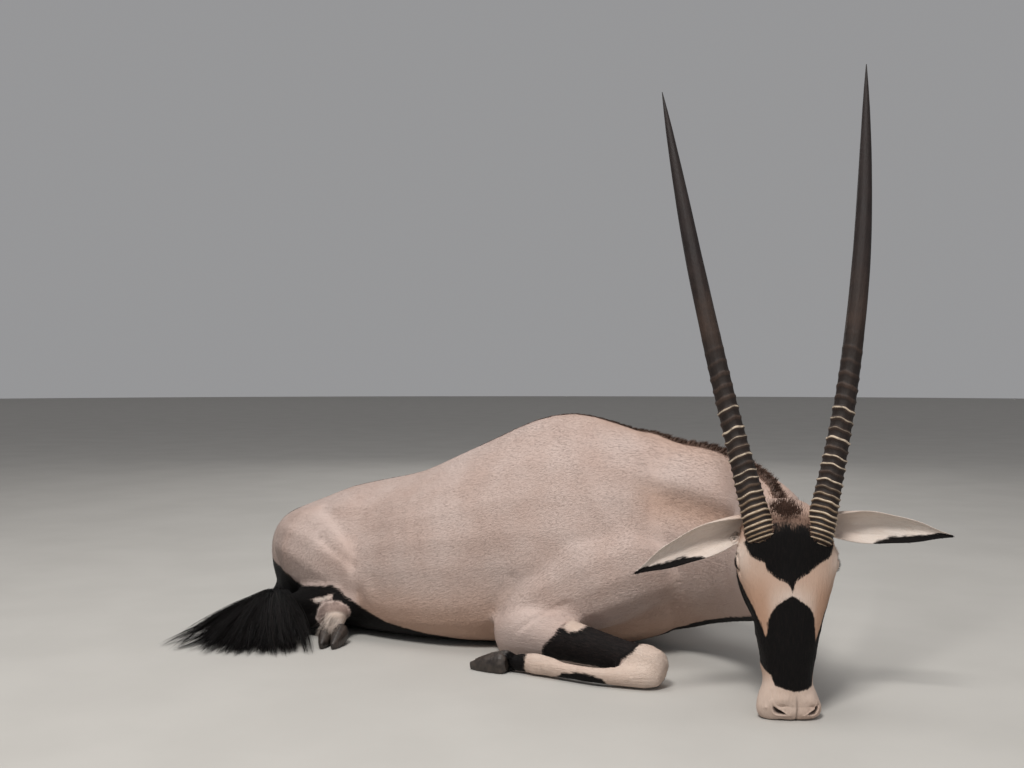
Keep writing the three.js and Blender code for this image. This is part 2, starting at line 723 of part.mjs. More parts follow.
function maneLocks(from, to, count, seed) {
  const random = seeded(seed);
  return Array.from({ length: count }, (_, i) => {
    const share = from + ((to - from) * (i + 0.5)) / count;
    const { top, side, up, ahead } = crestPoint(NECK_ROWS, share);
    const lean = (random() - 0.5) * 0.5 + (i % 2 ? 0.28 : -0.28);
    const height = MANE_LENGTH * (0.8 + 0.35 * random());
    const path = [-0.3, 0.25, 0.65, 1].map((t) => {
      const forward = 0.25 * t + 0.35 * t * t;
      return top
        .clone()
        .addScaledVector(up, height * (t * 0.9 - 0.1))
        .addScaledVector(side, height * lean * t)
        .addScaledVector(ahead, height * forward);
    });
    return lock(path, 24, 9, side);
  });
}

// Assembly

const head_ = head();
const headGrown = headBlank(GAP);
const trunkGrown = trunk(GAP);
const neckGrown = neckBlank(GAP);
const collarAhead = beyond(COLLAR_POINT, COLLAR_NORMAL);
const collarBehind = beyond(
  COLLAR_POINT.clone().addScaledVector(COLLAR_NORMAL, GAP),
  COLLAR_NORMAL.clone().negate(),
);
const body = trunk().add(neckBlank());

const material = (name, color, roughness, metalness = 0) =>
  new THREE.MeshStandardMaterial({ name, color, roughness, metalness });
const COAT = material("coat", 0xa08a7c, 0.85);
const BLACK_COAT = material("black_coat", 0x15110f, 0.8);
const HORN = material("horn", 0x3c342e, 0.5);
const HOOF = material("hoof", 0x2a2421, 0.45);
const EYE = material("eye", 0x1a0f0a, 0.08);

const gemsbok = new THREE.Group();

function addNode(name, solid, finish) {
  const mesh = new THREE.Mesh(geometryOf(largest(solid)), finish);
  mesh.name = name;
  gemsbok.add(mesh);
}

const eachSide = (make) => Object.entries(SIDES).forEach(([name, side]) => make(name, side));

addNode("torso", without(body, [collarAhead, FLOOR]), COAT);
addNode(
  "neck",
  without(union([body, ...maneLocks(0.36, 0.92, MANE_LOCKS, 3)]), [collarBehind, headGrown, FLOOR]),
  COAT,
);
addNode("head", head_, COAT);

eachSide((name, side) => {
  addNode(`eye_${name}`, eyeBall(side, EYE_RADIUS), EYE);
  addNode(`ear_${name}`, without(ear(EARS[name]), [headGrown, neckGrown, horn(HORNS[name], side, GAP)]), COAT);
  addNode(`horn_${name}`, without(horn(HORNS[name], side), [headGrown]), HORN);
});

const lowerGrown = [];
eachSide((name, side) => {
  for (const pair of ["fore", "hind"]) {
    const upper = without(upperLeg(pair, side), [trunkGrown, neckGrown, FLOOR]);
    const lower = without(lowerLeg(pair, side), [trunkGrown, neckGrown, upperLeg(pair, side, GAP), FLOOR]);
    addNode(`${pair}leg_${name}_upper`, upper, COAT);
    addNode(`${pair}leg_${name}_lower`, lower, COAT);
    lowerGrown.push(upperLeg(pair, side, GAP), lowerLeg(pair, side, GAP));
    for (const [which, place] of [[1, "outer"], [-1, "inner"]]) {
      const solid = without(claw(pair, side, which), [lowerLeg(pair, side, GAP), FLOOR]);
      addNode(`hoof_${pair}_${name}_${place}`, solid, HOOF);
    }
  }
});

addNode("tail", without(tail(), [trunkGrown, ...lowerGrown, FLOOR]), BLACK_COAT);

export default gemsbok;
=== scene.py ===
import math

import bmesh
import bpy
import numpy as np
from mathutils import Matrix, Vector
from mathutils.bvhtree import BVHTree
from mathutils.kdtree import KDTree


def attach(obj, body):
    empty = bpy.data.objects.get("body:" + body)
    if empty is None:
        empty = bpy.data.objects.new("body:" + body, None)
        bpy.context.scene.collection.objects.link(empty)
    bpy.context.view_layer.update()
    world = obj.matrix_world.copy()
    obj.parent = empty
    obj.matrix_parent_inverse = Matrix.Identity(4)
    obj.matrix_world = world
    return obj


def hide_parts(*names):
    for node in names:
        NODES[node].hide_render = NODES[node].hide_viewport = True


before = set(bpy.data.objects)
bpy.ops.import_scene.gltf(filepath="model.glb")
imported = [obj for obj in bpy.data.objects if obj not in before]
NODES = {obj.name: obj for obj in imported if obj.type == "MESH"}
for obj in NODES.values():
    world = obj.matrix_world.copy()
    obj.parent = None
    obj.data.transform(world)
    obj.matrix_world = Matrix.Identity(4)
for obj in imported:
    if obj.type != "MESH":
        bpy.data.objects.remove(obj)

# A gemsbok bull at rest, as a still, life-size museum model. The flesh solids are covered by one
# skin with a short coat; the horns, eyes and hooves are pieces of their own. Metres, in the row's
# frame: +X the trunk's forward, +Y the animal's left, +Z up, the floor at z = 0. Rows of sizes are
# in millimetres, as in the part's source.

MM = 0.001
UP = np.array((0, 0, 1.0))
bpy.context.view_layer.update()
RANDOM = np.random.default_rng(11)
SIDES = {"right": 1, "left": -1}


# Vectors and lofts

def unit(v):
    v = np.asarray(v, float)
    return v / np.maximum(np.linalg.norm(v, axis=-1, keepdims=True), 1e-12)


def turned(v, axis, angle):
    """v turned about a unit axis."""
    v, axis = np.asarray(v, float), np.asarray(axis, float)
    along = np.dot(axis, v)
    return v * math.cos(angle) + np.cross(axis, v) * math.sin(angle) + axis * along * (1 - math.cos(angle))


def smoothed(rows, per_gap):
    """Rows made denser along a Catmull-Rom curve. Short rows get round sections."""
    rows = np.array([list(r) + [0, 0, 0, 0, 0, 0, 2, 2][len(r):] for r in rows], float)
    ends = np.vstack([rows[:1], rows, rows[-1:]])
    t = (np.arange(per_gap) / per_gap)[:, None]
    out = []
    for a, b, c, d in zip(ends, ends[1:], ends[2:], ends[3:]):
        out.append(0.5 * (2 * b + (c - a) * t + (2 * a - 5 * b + 4 * c - d) * t**2
                          + (3 * b - a - 3 * c + d) * t**3))
    return np.vstack(out + [rows[-1:]])


def curve_frames(centres):
    """The side and up directions at each point of a line."""
    forward = unit(np.gradient(centres, axis=0))
    up = unit(UP - forward * forward[:, 2:])
    return np.cross(up, forward), up


def section(angle, top, bottom):
    """Points of a superellipse of the given squareness above and below."""
    c, s = np.cos(angle), np.sin(angle)
    power = 2 / np.where(s >= 0, top, bottom)
    return np.sign(c) * np.abs(c) ** power, np.sign(s) * np.abs(s) ** power


def loft(rows, per_gap, sides):
    """Rings of points round the rows [x, y, z, half width, rise, drop, squareness above, below]."""
    fine = smoothed(rows, per_gap)
    side, up = curve_frames(fine[:, :3])
    angle = np.linspace(0, 2 * math.pi, sides, endpoint=False)[None, :]
    across, upward = section(angle, fine[:, 6:7], fine[:, 7:8])
    across = across * fine[:, 3:4]
    upward = upward * np.where(np.sin(angle) >= 0, fine[:, 4:5], fine[:, 5:6])
    rings = fine[:, None, :3] + across[..., None] * side[:, None] + upward[..., None] * up[:, None]
    return rings * MM


def tube(rings):
    """A closed mesh of the rings, with a fan over each end."""
    count, sides = rings.shape[:2]
    verts = np.vstack([rings.reshape(-1, 3), rings[0].mean(0), rings[-1].mean(0)])
    faces = []
    for i in range(count - 1):
        for j in range(sides):
            a, b = i * sides + j, i * sides + (j + 1) % sides
            faces.append((a, b, b + sides, a + sides))
    for j in range(sides):
        after = (j + 1) % sides
        faces.append((count * sides, after, j))
        faces.append((count * sides + 1, (count - 1) * sides + j, (count - 1) * sides + after))
    return verts, faces


def joined(parts):
    """Several (points, faces) as one."""
    verts, faces, start = [], [], 0
    for points, polygons in parts:
        verts.append(points)
        faces += [tuple(i + start for i in f) for f in polygons]
        start += len(points)
    return np.vstack(verts), faces


# Meshes and their attributes

def node_mesh(name):
    """The points and faces of one of the part's solids."""
    data = NODES[name].data
    return vertex_array(data), [tuple(p.vertices) for p in data.polygons]


def values_of(items, field, wide, kind=np.float32):
    """One field of all of a mesh's vertices, edges or corners, as rows of the given width."""
    values = np.empty(len(items) * wide, kind)
    items.foreach_get(field, values)
    return values.reshape(-1, wide)


def vertex_array(mesh):
    return values_of(mesh.vertices, "co", 3).astype(float)


def set_vertices(mesh, points):
    mesh.vertices.foreach_set("co", np.asarray(points, np.float32).ravel())
    mesh.update()


def normals_of(mesh):
    return values_of(mesh.vertex_normals, "vector", 3).astype(float)


def edges_of(mesh):
    return values_of(mesh.edges, "vertices", 2, np.int32)


def new_object(name, verts, faces):
    mesh = bpy.data.meshes.new(name)
    mesh.from_pydata(np.asarray(verts).tolist(), [], faces)
    mesh.validate()
    return linked(name, mesh)


def linked(name, mesh):
    obj = bpy.data.objects.new(name, mesh)
    bpy.context.scene.collection.objects.link(obj)
    mesh.shade_smooth()
    return obj


def with_modifier(obj, kind, **settings):
    """Applies one modifier and returns the new mesh."""
    modifier = obj.modifiers.new("step", kind)
    for name, value in settings.items():
        setattr(modifier, name, value)
    shown = obj.evaluated_get(bpy.context.evaluated_depsgraph_get())
    mesh = bpy.data.meshes.new_from_object(shown)
    obj.modifiers.clear()
    mesh.materials.clear()
    obj.data = mesh
    return mesh


def edit(mesh, change, *settings):
    """Opens the mesh for a change of its faces, and writes it back."""
    bm = bmesh.new()
    bm.from_mesh(mesh)
    change(bm, *settings)
    bm.to_mesh(mesh)
    bm.free()
    mesh.update()


def outward(mesh):
    """Turns all faces outwards."""
    edit(mesh, lambda bm: bmesh.ops.recalc_face_normals(bm, faces=bm.faces))


def set_values(mesh, name, values):
    """Writes a number or a vector for each vertex."""
    values = np.asarray(values, np.float32)
    kind, field = ("FLOAT_VECTOR", "vector") if values.shape[1:] == (3,) else ("FLOAT", "value")
    attribute = mesh.attributes.get(name) or mesh.attributes.new(name, kind, "POINT")
    attribute.data.foreach_set(field, values.ravel())


def relax(values, edges, rounds, weight=1.0, grow=0.0):
    """Moves each point, or number, halfway to its neighbours' mean by its weight, and back by grow."""
    a, b = edges.T
    ends, others = np.r_[a, b], np.r_[b, a]
    count = np.maximum(np.bincount(ends, minlength=len(values)), 1)[:, None]
    weight = np.broadcast_to(weight, len(values))[:, None]
    table = values.reshape(len(values), -1)
    for _ in range(rounds):
        for step in (0.5, -grow) if grow else (0.5,):
            total = np.stack([np.bincount(ends, column[others], len(values)) for column in table.T], 1)
            table = table + step * weight * (total / count - table)
    return table.reshape(values.shape)


def near(points, centre, reach):
    """1 at the centre, falling away to 0 over reach, which is one size or three."""
    return np.exp(-(((points - np.asarray(centre)) / np.asarray(reach)) ** 2).sum(-1))


def bell(x, width):
    """1 where x is 0, falling away over the width."""
    return np.exp(-((x / width) ** 2))


def ramp(x, low, high):
    """0 below low, 1 above high, smooth between."""
    t = np.clip((x - low) / (high - low), 0, 1)
    return t * t * (3 - 2 * t)


def polygon_distance(points, outline):
    """Distance of each 2-D point to an outline, positive inside."""
    points, corners = np.asarray(points, float), np.asarray(outline, float)
    best = np.full(len(points), 1e9)
    inside = np.zeros(len(points), bool)
    for a, b in zip(corners, np.roll(corners, -1, 0)):
        d = b - a
        t = np.clip(((points - a) @ d) / (d @ d), 0, 1)[:, None]
        best = np.minimum(best, np.linalg.norm(points - a - t * d, axis=1))
        crosses = (a[1] > points[:, 1]) != (b[1] > points[:, 1])
        at = a[0] + (points[:, 1] - a[1]) * d[0] / (d[1] if d[1] else 1e-9)
        inside ^= crosses & (points[:, 0] < at)
    return np.where(inside, best, -best)


def line_place(points, line):
    """For each point, the distance to a line of points, the nearest place on it and its way there."""
    line = np.asarray(line, float)
    best = np.full(len(points), 1e9)
    foot, way = np.zeros((2, len(points), line.shape[1]))
    for a, b in zip(line, line[1:]):
        d = b - a
        at = a + np.clip(((points - a) @ d) / (d @ d), 0, 1)[:, None] * d
        gap = np.linalg.norm(points - at, axis=1)
        closer = gap < best
        best = np.where(closer, gap, best)
        foot[closer], way[closer] = at[closer], unit(d)
    return best, foot, way


# The head's own frame: x from the brow to the muzzle, y to the animal's left, z out of the face.

BROW = np.array((664, -428, 303)) * MM
FACING, HEAD_TILT, HEAD_ROLL = (math.radians(a) for a in (-68, 11, 1.9))


def head_axes():
    ahead = np.array((math.cos(FACING), math.sin(FACING), 0))
    left = np.array((-math.sin(FACING), math.cos(FACING), 0))
    down = ahead * math.sin(HEAD_TILT) - np.array((0, 0, math.cos(HEAD_TILT)))
    out = np.cross(down, left)
    return np.array([turned(down, out, -HEAD_ROLL), turned(left, out, -HEAD_ROLL), out])


HEAD = head_axes()


def on_head(p):
    """Where points of the head's frame, in mm, are in the row's frame."""
    return BROW + (np.asarray(p, float) * MM) @ HEAD


def along_head(p):
    """A direction of the head's frame in the row's frame."""
    return unit(np.asarray(p, float) @ HEAD)


def in_head(points):
    """Points of the row's frame in the head's frame, in mm."""
    return (points - BROW) @ HEAD.T / MM


# Shapes that the skin is made from, besides the solids of the torso, head and legs

NECK_ROWS = [
    [150, 0, 300, 150, 190, 230, 1.9, 2],
    [250, -3, 290, 152, 212, 255, 1.8, 2],
    [350, -18, 282, 142, 196, 240, 1.75, 2],
    [440, -62, 280, 126, 188, 208, 1.7, 1.9],
    [518, -128, 278, 108, 170, 180, 1.7, 1.9],
    [573, -205, 277, 96, 150, 158, 1.8, 2],
    [610, -285, 276, 85, 134, 136],
    [632, -345, 280, 72, 112, 104],
]
DOCK_ROWS = [
    [-690, 34, 244, 20, 20, 24],
    [-728, 38, 228, 20, 18, 20],
    [-740, 40, 190, 16, 16, 17],
    [-732, 24, 132, 14, 14, 15],
    [-712, -22, 92, 14, 14, 15],
    [-694, -72, 72, 16, 15, 16],
    [-682, -112, 62, 14, 12, 14],
    [-668, -180, 60, 12, 9, 12],
]

# Share of the ear's length, radius of the cup's wall, half of the angle it spans
EAR_ROWS = [
    [0, 17, 2.3],
    [0.1, 21, 2.2],
    [0.22, 27, 1.75],
    [0.36, 31, 1.4],
    [0.52, 31, 1.2],
    [0.66, 27, 1.1],
    [0.79, 20, 1.0],
    [0.9, 11, 0.9],
    [1, 2.5, 0.8],
]
EAR_LENGTH = 252
EARS = {
    "right": dict(root=(-62, -58, -64), tip=(48, -286, -50), opens_to=(0.35, -0.1, 1)),
    "left": dict(root=(-62, 58, -64), tip=(-40, 304, -20), opens_to=(0.3, -0.25, 1)),
}
EAR_COLUMNS = 28


def ear_way(side):
    return unit(on_head(EARS[side]["tip"]) - on_head(EARS[side]["root"]))


def ear_grid(root, tip, opens_to):
    """The ear's outer and inner face as grids of points, with the share and turn of each."""
    rows = smoothed(EAR_ROWS, 6)
    share, radius, half = np.clip(rows[:, 0], 0, 1), rows[:, 1], rows[:, 2]
    start = on_head(root)
    axis = unit(on_head(tip) - start)
    cup = along_head(opens_to)
    cup = unit(cup - axis * (cup @ axis))
    across = np.cross(axis, cup)
    centre = start + (share * EAR_LENGTH * MM)[:, None] * axis
    centre = centre + ((radius * 0.5 - 10 * np.sin(math.pi * share)) * MM)[:, None] * cup
    turn = np.linspace(-1, 1, EAR_COLUMNS)[None, :]
    angle = half[:, None] * turn
    wave = 0.7 * np.sin(share * 19)[:, None] * turn**2
    faces = []
    for face in (1, -1):
        thick = (2.6 - 1.5 * share)[:, None] * (1 - 0.55 * turn**2)
        thick = thick + (2.2 * ramp(-share, -0.4, -0.05))[:, None] * (face < 0)
        folds = 0.9 * np.cos(angle * 9) * (1 - turn**2) * np.sin(math.pi * share)[:, None] if face < 0 else 0
        r = radius[:, None] + face * np.minimum(thick, radius[:, None] * 0.4) + folds + wave
        faces.append(centre[:, None] + (r * np.sin(angle) * MM)[..., None] * across
                     - (r * np.cos(angle) * MM)[..., None] * cup)
    return faces[0], faces[1], share, turn[0]


def ear_shell(side):
    """The ear as one closed shell: its two faces and the rim between them."""
    outer, inner, _, _ = ear_grid(**EARS[side])
    rows, columns = outer.shape[:2]
    layer = rows * columns
    at = np.arange(layer).reshape(rows, columns)
    faces = []

    def rim(a, b):
        return a, b, b + layer, a + layer

    for i in range(rows - 1):
        for j in range(columns - 1):
            a, b, c, d = at[i, j], at[i, j + 1], at[i + 1, j + 1], at[i + 1, j]
            faces += [(a, b, c, d), (a + layer, d + layer, c + layer, b + layer)]
        faces += [rim(at[i, 0], at[i + 1, 0]), rim(at[i, -1], at[i + 1, -1])[::-1]]
    for j in range(columns - 1):
        faces += [rim(at[0, j], at[0, j + 1])[::-1], rim(at[-1, j], at[-1, j + 1])]
    return np.vstack([outer.reshape(-1, 3), inner.reshape(-1, 3)]), faces


# The skin

LEGS = [f"{pair}leg_{side}_{half}" for side in SIDES for pair in ("fore", "hind")
        for half in ("upper", "lower")]
FLESH = ["torso", "neck", "head", "ear_right", "ear_left", "tail", *LEGS]
VOXEL = 8.2 * MM
COAT_DEPTH = 2.0 * MM

EAR_ROOT_EDGE = (-32, 92, -66)  # the lower edge of the ear's root
EYE_AT = (18, 79, -47)
EYE_RADIUS = 17.5
NOSTRIL_AT = (287, 33, -25)
HOCK_AT = (-415, 250, 66)
MOUTH_CORNER = 208
FACE_LENGTH = 312


def ball(centre, radius, wide=24, high=16):
    """A sphere, or an ellipsoid where the radius is a row of three."""
    turn = np.linspace(0, math.pi, high + 1)[1:-1]
    angle = np.linspace(0, 2 * math.pi, wide, endpoint=False)
    rings = np.stack([np.sin(turn)[:, None] * np.cos(angle), np.sin(turn)[:, None] * np.sin(angle),
                      np.repeat(np.cos(turn)[:, None], wide, 1)], -1)
    points, faces = tube(rings)
    points[-2:] = ((0, 0, 1), (0, 0, -1))
    return np.asarray(centre) + points * radius, [f[::-1] for f in faces]


def part_of(part, *names):
    """Which points belong to any of the named bodies of flesh."""
    return np.isin(part, [FLESH.index(name) for name in names])


def flesh_parts():
    """Name and mesh of each body of flesh but the ears, the neck and tail without their locks."""
    parts = {name: node_mesh(name) for name in FLESH if not name.startswith("ear")}
    parts["neck"], parts["tail"] = tube(loft(NECK_ROWS, 6, 40)), tube(loft(DOCK_ROWS, 5, 20))
    return parts


def refine(bm, wanted):
    """Splits each face whose middle is wanted, in the head's frame, into four."""
    chosen = wanted(in_head(np.array([f.calc_center_median() for f in bm.faces])))
    edges = {e for f, w in zip(bm.faces, chosen) if w for e in f.edges}
    bmesh.ops.subdivide_edges(bm, edges=list(edges), cuts=1, use_grid_fill=True)
    bmesh.ops.triangulate(bm, faces=[f for f in bm.faces if len(f.verts) > 4])


def mouth_height(x):
    """How far out the line of the mouth runs, in the head's frame."""
    along = np.clip((x - MOUTH_CORNER) / (FACE_LENGTH + 20 - MOUTH_CORNER), 0, 1)
    return -63 - 9 * np.sin(math.pi * along) - 4 * along


def within(h, low, high):
    return ((h > low) & (h < high)).all(axis=1)


def in_head_box(h):
    return within(h, (-100, -108, -185), (330, 108, 45))


def on_muzzle(h):
    return within(h, (185, -90, -130), (math.inf, 90, 30))


def muzzle_lean(h):
    """How far the muzzle's middle lies to the animal's left of the head's."""
    return 10 * ramp(h[:, 0], 190, 285)


def one_side(p):
    """Points of both sides laid over each other, on the side where y is positive."""
    return np.stack([p[:, 0], np.abs(p[:, 1]), p[:, 2]], 1)


def folded(h):
    """The same for points in the head's frame, about the muzzle's own middle."""
    return one_side(h - muzzle_lean(h)[:, None] * (0, 1, 0))


def by_eye(h, reach):
    return np.linalg.norm(folded(h) - EYE_AT - (0, 13, 0), axis=1) < reach


def by_nostril(h, reach):
    return np.linalg.norm(folded(h) - NOSTRIL_AT, axis=1) < reach


def by_mouth(h):
    return on_muzzle(h) & (h[:, 0] > 200) & (np.abs(h[:, 2] - mouth_height(h[:, 0])) < 6)


def blank_skin(parts):
    """All the flesh as one closed surface, finer on the head, with balls to fill eyes and hocks."""
    eyes = [ball(on_head((EYE_AT[0], s * EYE_AT[1], EYE_AT[2])), (EYE_RADIUS + 2.5) * MM) for s in (-1, 1)]
    feet = [ball(np.array((-418 + dx, s * 244, 58)) * MM, np.array((30, 29, 27)) * MM)
            for s, dx in ((-1, 0), (1, 12))]
    obj = new_object("skin", *joined([*parts.values(), *eyes, *feet]))
    mesh = with_modifier(obj, "REMESH", mode="VOXEL", voxel_size=VOXEL)
    edges = edges_of(mesh)
    points = relax(vertex_array(mesh), edges, 14, grow=0.45)
    by_hock = near(one_side(points / MM), HOCK_AT, 34)
    set_vertices(mesh, relax(points, edges, 8, np.clip(2 * by_hock, 0, 1)))
    steps = [
        in_head_box,
        lambda h: in_head_box(h) & (on_muzzle(h) | by_eye(h, 46)),
        lambda h: by_eye(h, 27) | by_nostril(h, 22) | by_mouth(h),
    ]
    for wanted in steps:
        edit(mesh, refine, wanted)
        points = vertex_array(mesh)
        set_vertices(mesh, relax(points, edges_of(mesh), 3, in_head_box(in_head(points))))
    return obj


def keep_largest(bm):
    """Drops all but the largest connected surface."""
    left, best = set(bm.verts), set()
    while left:
        start = left.pop()
        island, edge = {start}, [start]
        while edge:
            for link in edge.pop().link_edges:
                for v in link.verts:
                    if v not in island:
                        island.add(v)
                        edge.append(v)
        left -= island
        best = max(best, island, key=len)
    bmesh.ops.delete(bm, geom=[v for v in bm.verts if v not in best], context="VERTS")


def add_ears(skin):
    """Joins the ears to the head and softens their roots."""
    for side in EARS:
        ear = new_object("blank_ear", *ear_shell(side))
        outward(ear.data)
        mesh = with_modifier(skin, "BOOLEAN", operation="UNION", solver="MANIFOLD", object=ear)
        bpy.data.objects.remove(ear)
    edit(mesh, keep_largest)
    points = vertex_array(mesh)
    h = folded(in_head(points))
    weight = np.maximum(near(h, (-62, 80, -66), 26), near(h, (-55, 95, -66), 20))
    set_vertices(mesh, relax(points, edges_of(mesh), 7, np.clip(1.6 * weight, 0, 1)))


# Spots and lines where bone and muscle raise the skin, or hollow it: place, reach, height.

BODY_SPOTS = [
    [(-470, 150, 300), (55, 50, 45), 5],  # point of the hip
    [(-620, 110, 235), (70, 60, 60), 6],  # rump
    [(-545, 190, 175), (60, 40, 50), 4],  # thigh
    [(-385, 215, 275), (60, 60, 55), -7],  # hollow of the flank
    [(-40, 235, 150), (45, 60, 100), -4],  # behind the elbow
    [(160, 195, 235), (60, 50, 75), 8],  # triceps
    [(65, 185, 330), (36, 60, 90), -5],  # behind the shoulder blade
    [(250, 165, 300), (34, 50, 70), -5],  # ahead of the shoulder blade
    [(300, 165, 215), (45, 45, 45), 6],  # point of the shoulder
]
BODY_LINES = [
    [[(85, 70, 505), (150, 130, 420), (215, 165, 320), (285, 170, 240)], 20, 5],  # shoulder blade's spine
    [[(-440, 205, 215), (-385, 228, 165), (-345, 232, 115)], 20, 5],  # fold of the flank
    [[(-300, 160, 330), (-150, 190, 380), (20, 170, 450)], 34, 3],  # edge of the back's muscle
    [[(22, 224, 175), (4, 226, 130), (-22, 226, 80), (-40, 200, 30)], 15, -5],  # behind the elbow
    [[(44, 262, 60), (78, 277, 92), (118, 250, 118), (160, 238, 132)], 8, -3.5],  # fold over the forearm
    [[(-480, 208, 232), (-432, 216, 204), (-392, 214, 178)], 13, -4],  # ahead of the thigh
]
RIBS_FROM, RIBS_TO, RIB_STEP, RIB_HEIGHT = -330, 10, 41, 0.2
HEAD_SPOTS = [
    [(60, 66, -104), (46, 26, 30), 5],  # jaw muscle
    [(112, 54, -92), (26, 22, 26), -5],  # ahead of the jaw muscle
    [(120, 60, -58), (34, 20, 12), -3],  # hollow of the cheek
    [(-26, 84, -76), (22, 22, 18), -4],  # hollow behind the eye
    [(8, 96, -33), (22, 14, 10), 3.5],  # brow rim
    [(36, 30, -2), (26, 20, 20), -2],  # beside the forehead's middle
    [(-28, 54, -8), (34, 34, 22), 4],  # collars of skin at the horns
    [(266, 28, -16), (10, 17, 13), 3.5],  # fold over the nostril
    [(290, 12, -20), (9, 13, 12), 2.5],  # between the nostrils
    [(276, 50, -50), (24, 14, 10), 3.5],  # upper lip
    [(258, 26, -88), (30, 24, 12), 2.5],  # chin
    [(205, 44, -60), (14, 16, 12), 2],  # corner of the mouth
]
HEAD_LINES = [
    [[(44, 84, -62), (90, 72, -62), (150, 58, -60)], 7, 2.6],  # ridge of the cheek
    [[(38, 86, -46), (80, 72, -40), (120, 60, -44), (170, 50, -56)], 2.6, 1.1],  # vein
    [[(112, 58, -70), (150, 52, -72), (185, 46, -82)], 2.4, 0.9],  # its branch
    [[(196, 46, -74), (190, 46, -66), (193, 47, -56)], 2.5, -1.4],  # fold at the mouth's corner
    [[(186, 47, -76), (180, 48, -66), (184, 49, -54)], 2.5, -0.9],
    [[(150, 40, -100), (230, 30, -96)], 8, -1.5],  # groove of the lower jaw
    [[(-18, 96, -34), (12, 103, -31), (40, 96, -38)], 2.2, -1.2],  # fold over the upper lid
    [[(0, 100, -62), (20, 102, -65), (40, 96, -60)], 2.4, -1.0],  # fold under the lower lid
    [[(279, 5, -18), (277, 20, -18), (276, 36, -26), (270, 50, -36)], 2.6, -2.4],  # crease at the nostril
    [[(262, 50, -36), (278, 54, -46), (292, 50, -50)], 2.4, -1.3],  # wrinkles of the lip
    [[(250, 50, -44), (264, 57, -54), (282, 57, -58)], 2.2, -1.0],
    [[(294, 4, -22), (297, 16, -26), (299, 28, -34)], 2.2, -1.2],
]


def raised(points, spots, lines):
    """How far the spots and lines lift each point."""
    height = np.zeros(len(points))
    for at, reach, rise in spots:
        height += rise * near(points, at, reach)
    for line, width, rise in lines:
        height += rise * bell(line_place(points, line)[0], width)
    return height


def ribs(p):
    """The faint waves of the ribs."""
    wave = np.sin(2 * math.pi * (p[:, 0] + 0.32 * (p[:, 2] - 250)) / RIB_STEP)
    inside = ramp(p[:, 0], RIBS_FROM - 20, RIBS_FROM + 40) * ramp(-p[:, 0], -RIBS_TO, 50 - RIBS_TO)
    return RIB_HEIGHT * wave * inside * ramp(p[:, 2], 130, 190) * ramp(-p[:, 2], -400, -330)


# Eye lids: the opening is a lens along the head, and its rim lies on the eyeball.

EYE_LONG, EYE_UP, EYE_LOW = 16.0, 7.5, 7.5
LID = 2.2
BALL_GAP = 3.0


def eye_axes():
    """Outward, along the slit towards the muzzle, and up; for the side where y is positive."""
    outward = unit((-0.04, 1, 0.02))
    along = np.array((0.970, 0, 0.242))
    along = unit(along - outward * (along @ outward))
    up = np.cross(along, outward)
    return outward, along, up * np.sign(up[2])


def lid_edge(f):
    """How far a folded point lies outside the opening's rim, in mm, and its place across the eye."""
    outward, along, up = eye_axes()
    d = f - EYE_AT
    u, v = d @ along, d @ up
    limit = np.where(v > 0, EYE_UP, EYE_LOW) * (1 - np.clip(np.abs(u) / EYE_LONG, 0, 1) ** 2)
    beyond = np.maximum(np.abs(u) - EYE_LONG, 0)
    return np.abs(v) - limit + 0.9 * beyond, d @ outward, u, v


def sculpt_eyes(f):
    """Lays the lids on the eyeball, and cuts the slit, the crease above and the tear line."""
    edge, ahead, u, v = lid_edge(f)
    d = f - EYE_AT
    distance = np.linalg.norm(d, axis=1)
    lid = EYE_RADIUS + LID - 0.5 * ramp(edge, 1, 6)
    target = EYE_RADIUS - BALL_GAP + (lid - EYE_RADIUS + BALL_GAP) * ramp(edge, -0.9, 0.7)
    crease = 1.3 * bell(edge - 6.5, 1.6) * (v > 0) * ramp(16 - np.abs(u), 0, 8)
    weight = (1 - ramp(edge, 6, 14)) * (ahead > 0) * (distance < 34)
    moved = EYE_AT + d / distance[:, None] * (target - crease)[:, None]
    tear = 1.2 * bell(v, 2.2) * ramp(u, EYE_LONG, EYE_LONG + 3) * ramp(38 - u, 0, 14) * (ahead > 0)
    return f + weight[:, None] * (moved - f) - (tear * (1 - weight))[:, None] * eye_axes()[0]


NOSTRIL_LONG, NOSTRIL_WIDE, NOSTRIL_DEEP = 13.0, 4.4, 9.0


def nostril_edge(f):
    """0 at the middle of the nostril's slit and 1 at its rim, and the way out of it."""
    outward = unit((0.50, 0.42, 0.75))
    along = np.array((0.30, -0.92, 0.1))
    along = unit(along - outward * (along @ outward))
    across = np.cross(outward, along)
    d = f - NOSTRIL_AT
    u, v = d @ along, d @ across
    v = v + 0.035 * np.minimum(u, 0) ** 2
    inside = np.sqrt((u / NOSTRIL_LONG) ** 2 + (v / (NOSTRIL_WIDE * (1.0 - 0.03 * u))) ** 2)
    return np.where(np.linalg.norm(d, axis=1) < 26, inside, 9.0), outward


def sculpt_nostrils(f):
    """Cuts the nostrils and raises their rims."""
    q, outward = nostril_edge(f)
    move = 1.3 * bell(q - 1.4, 0.35) - NOSTRIL_DEEP * ramp(-q, -1.12, -0.45)
    return f + move[:, None] * outward


def sculpt_mouth(f, normals):
    """Cuts the mouth between raised lips, and the groove down the middle of the nose."""
    gap = f[:, 2] - mouth_height(f[:, 0])
    there = ramp(f[:, 0], MOUTH_CORNER - 6, MOUTH_CORNER + 5) * (normals[:, 2] < 0.75)
    move = bell(np.abs(gap) - 4.5, 2.6) - 3.8 * bell(gap, 1.25)
    middle = -1.1 * bell(f[:, 1], 1.8) * ramp(f[:, 0], 262, 290) * (gap > -2)
    return f + (move * there + middle)[:, None] * normals


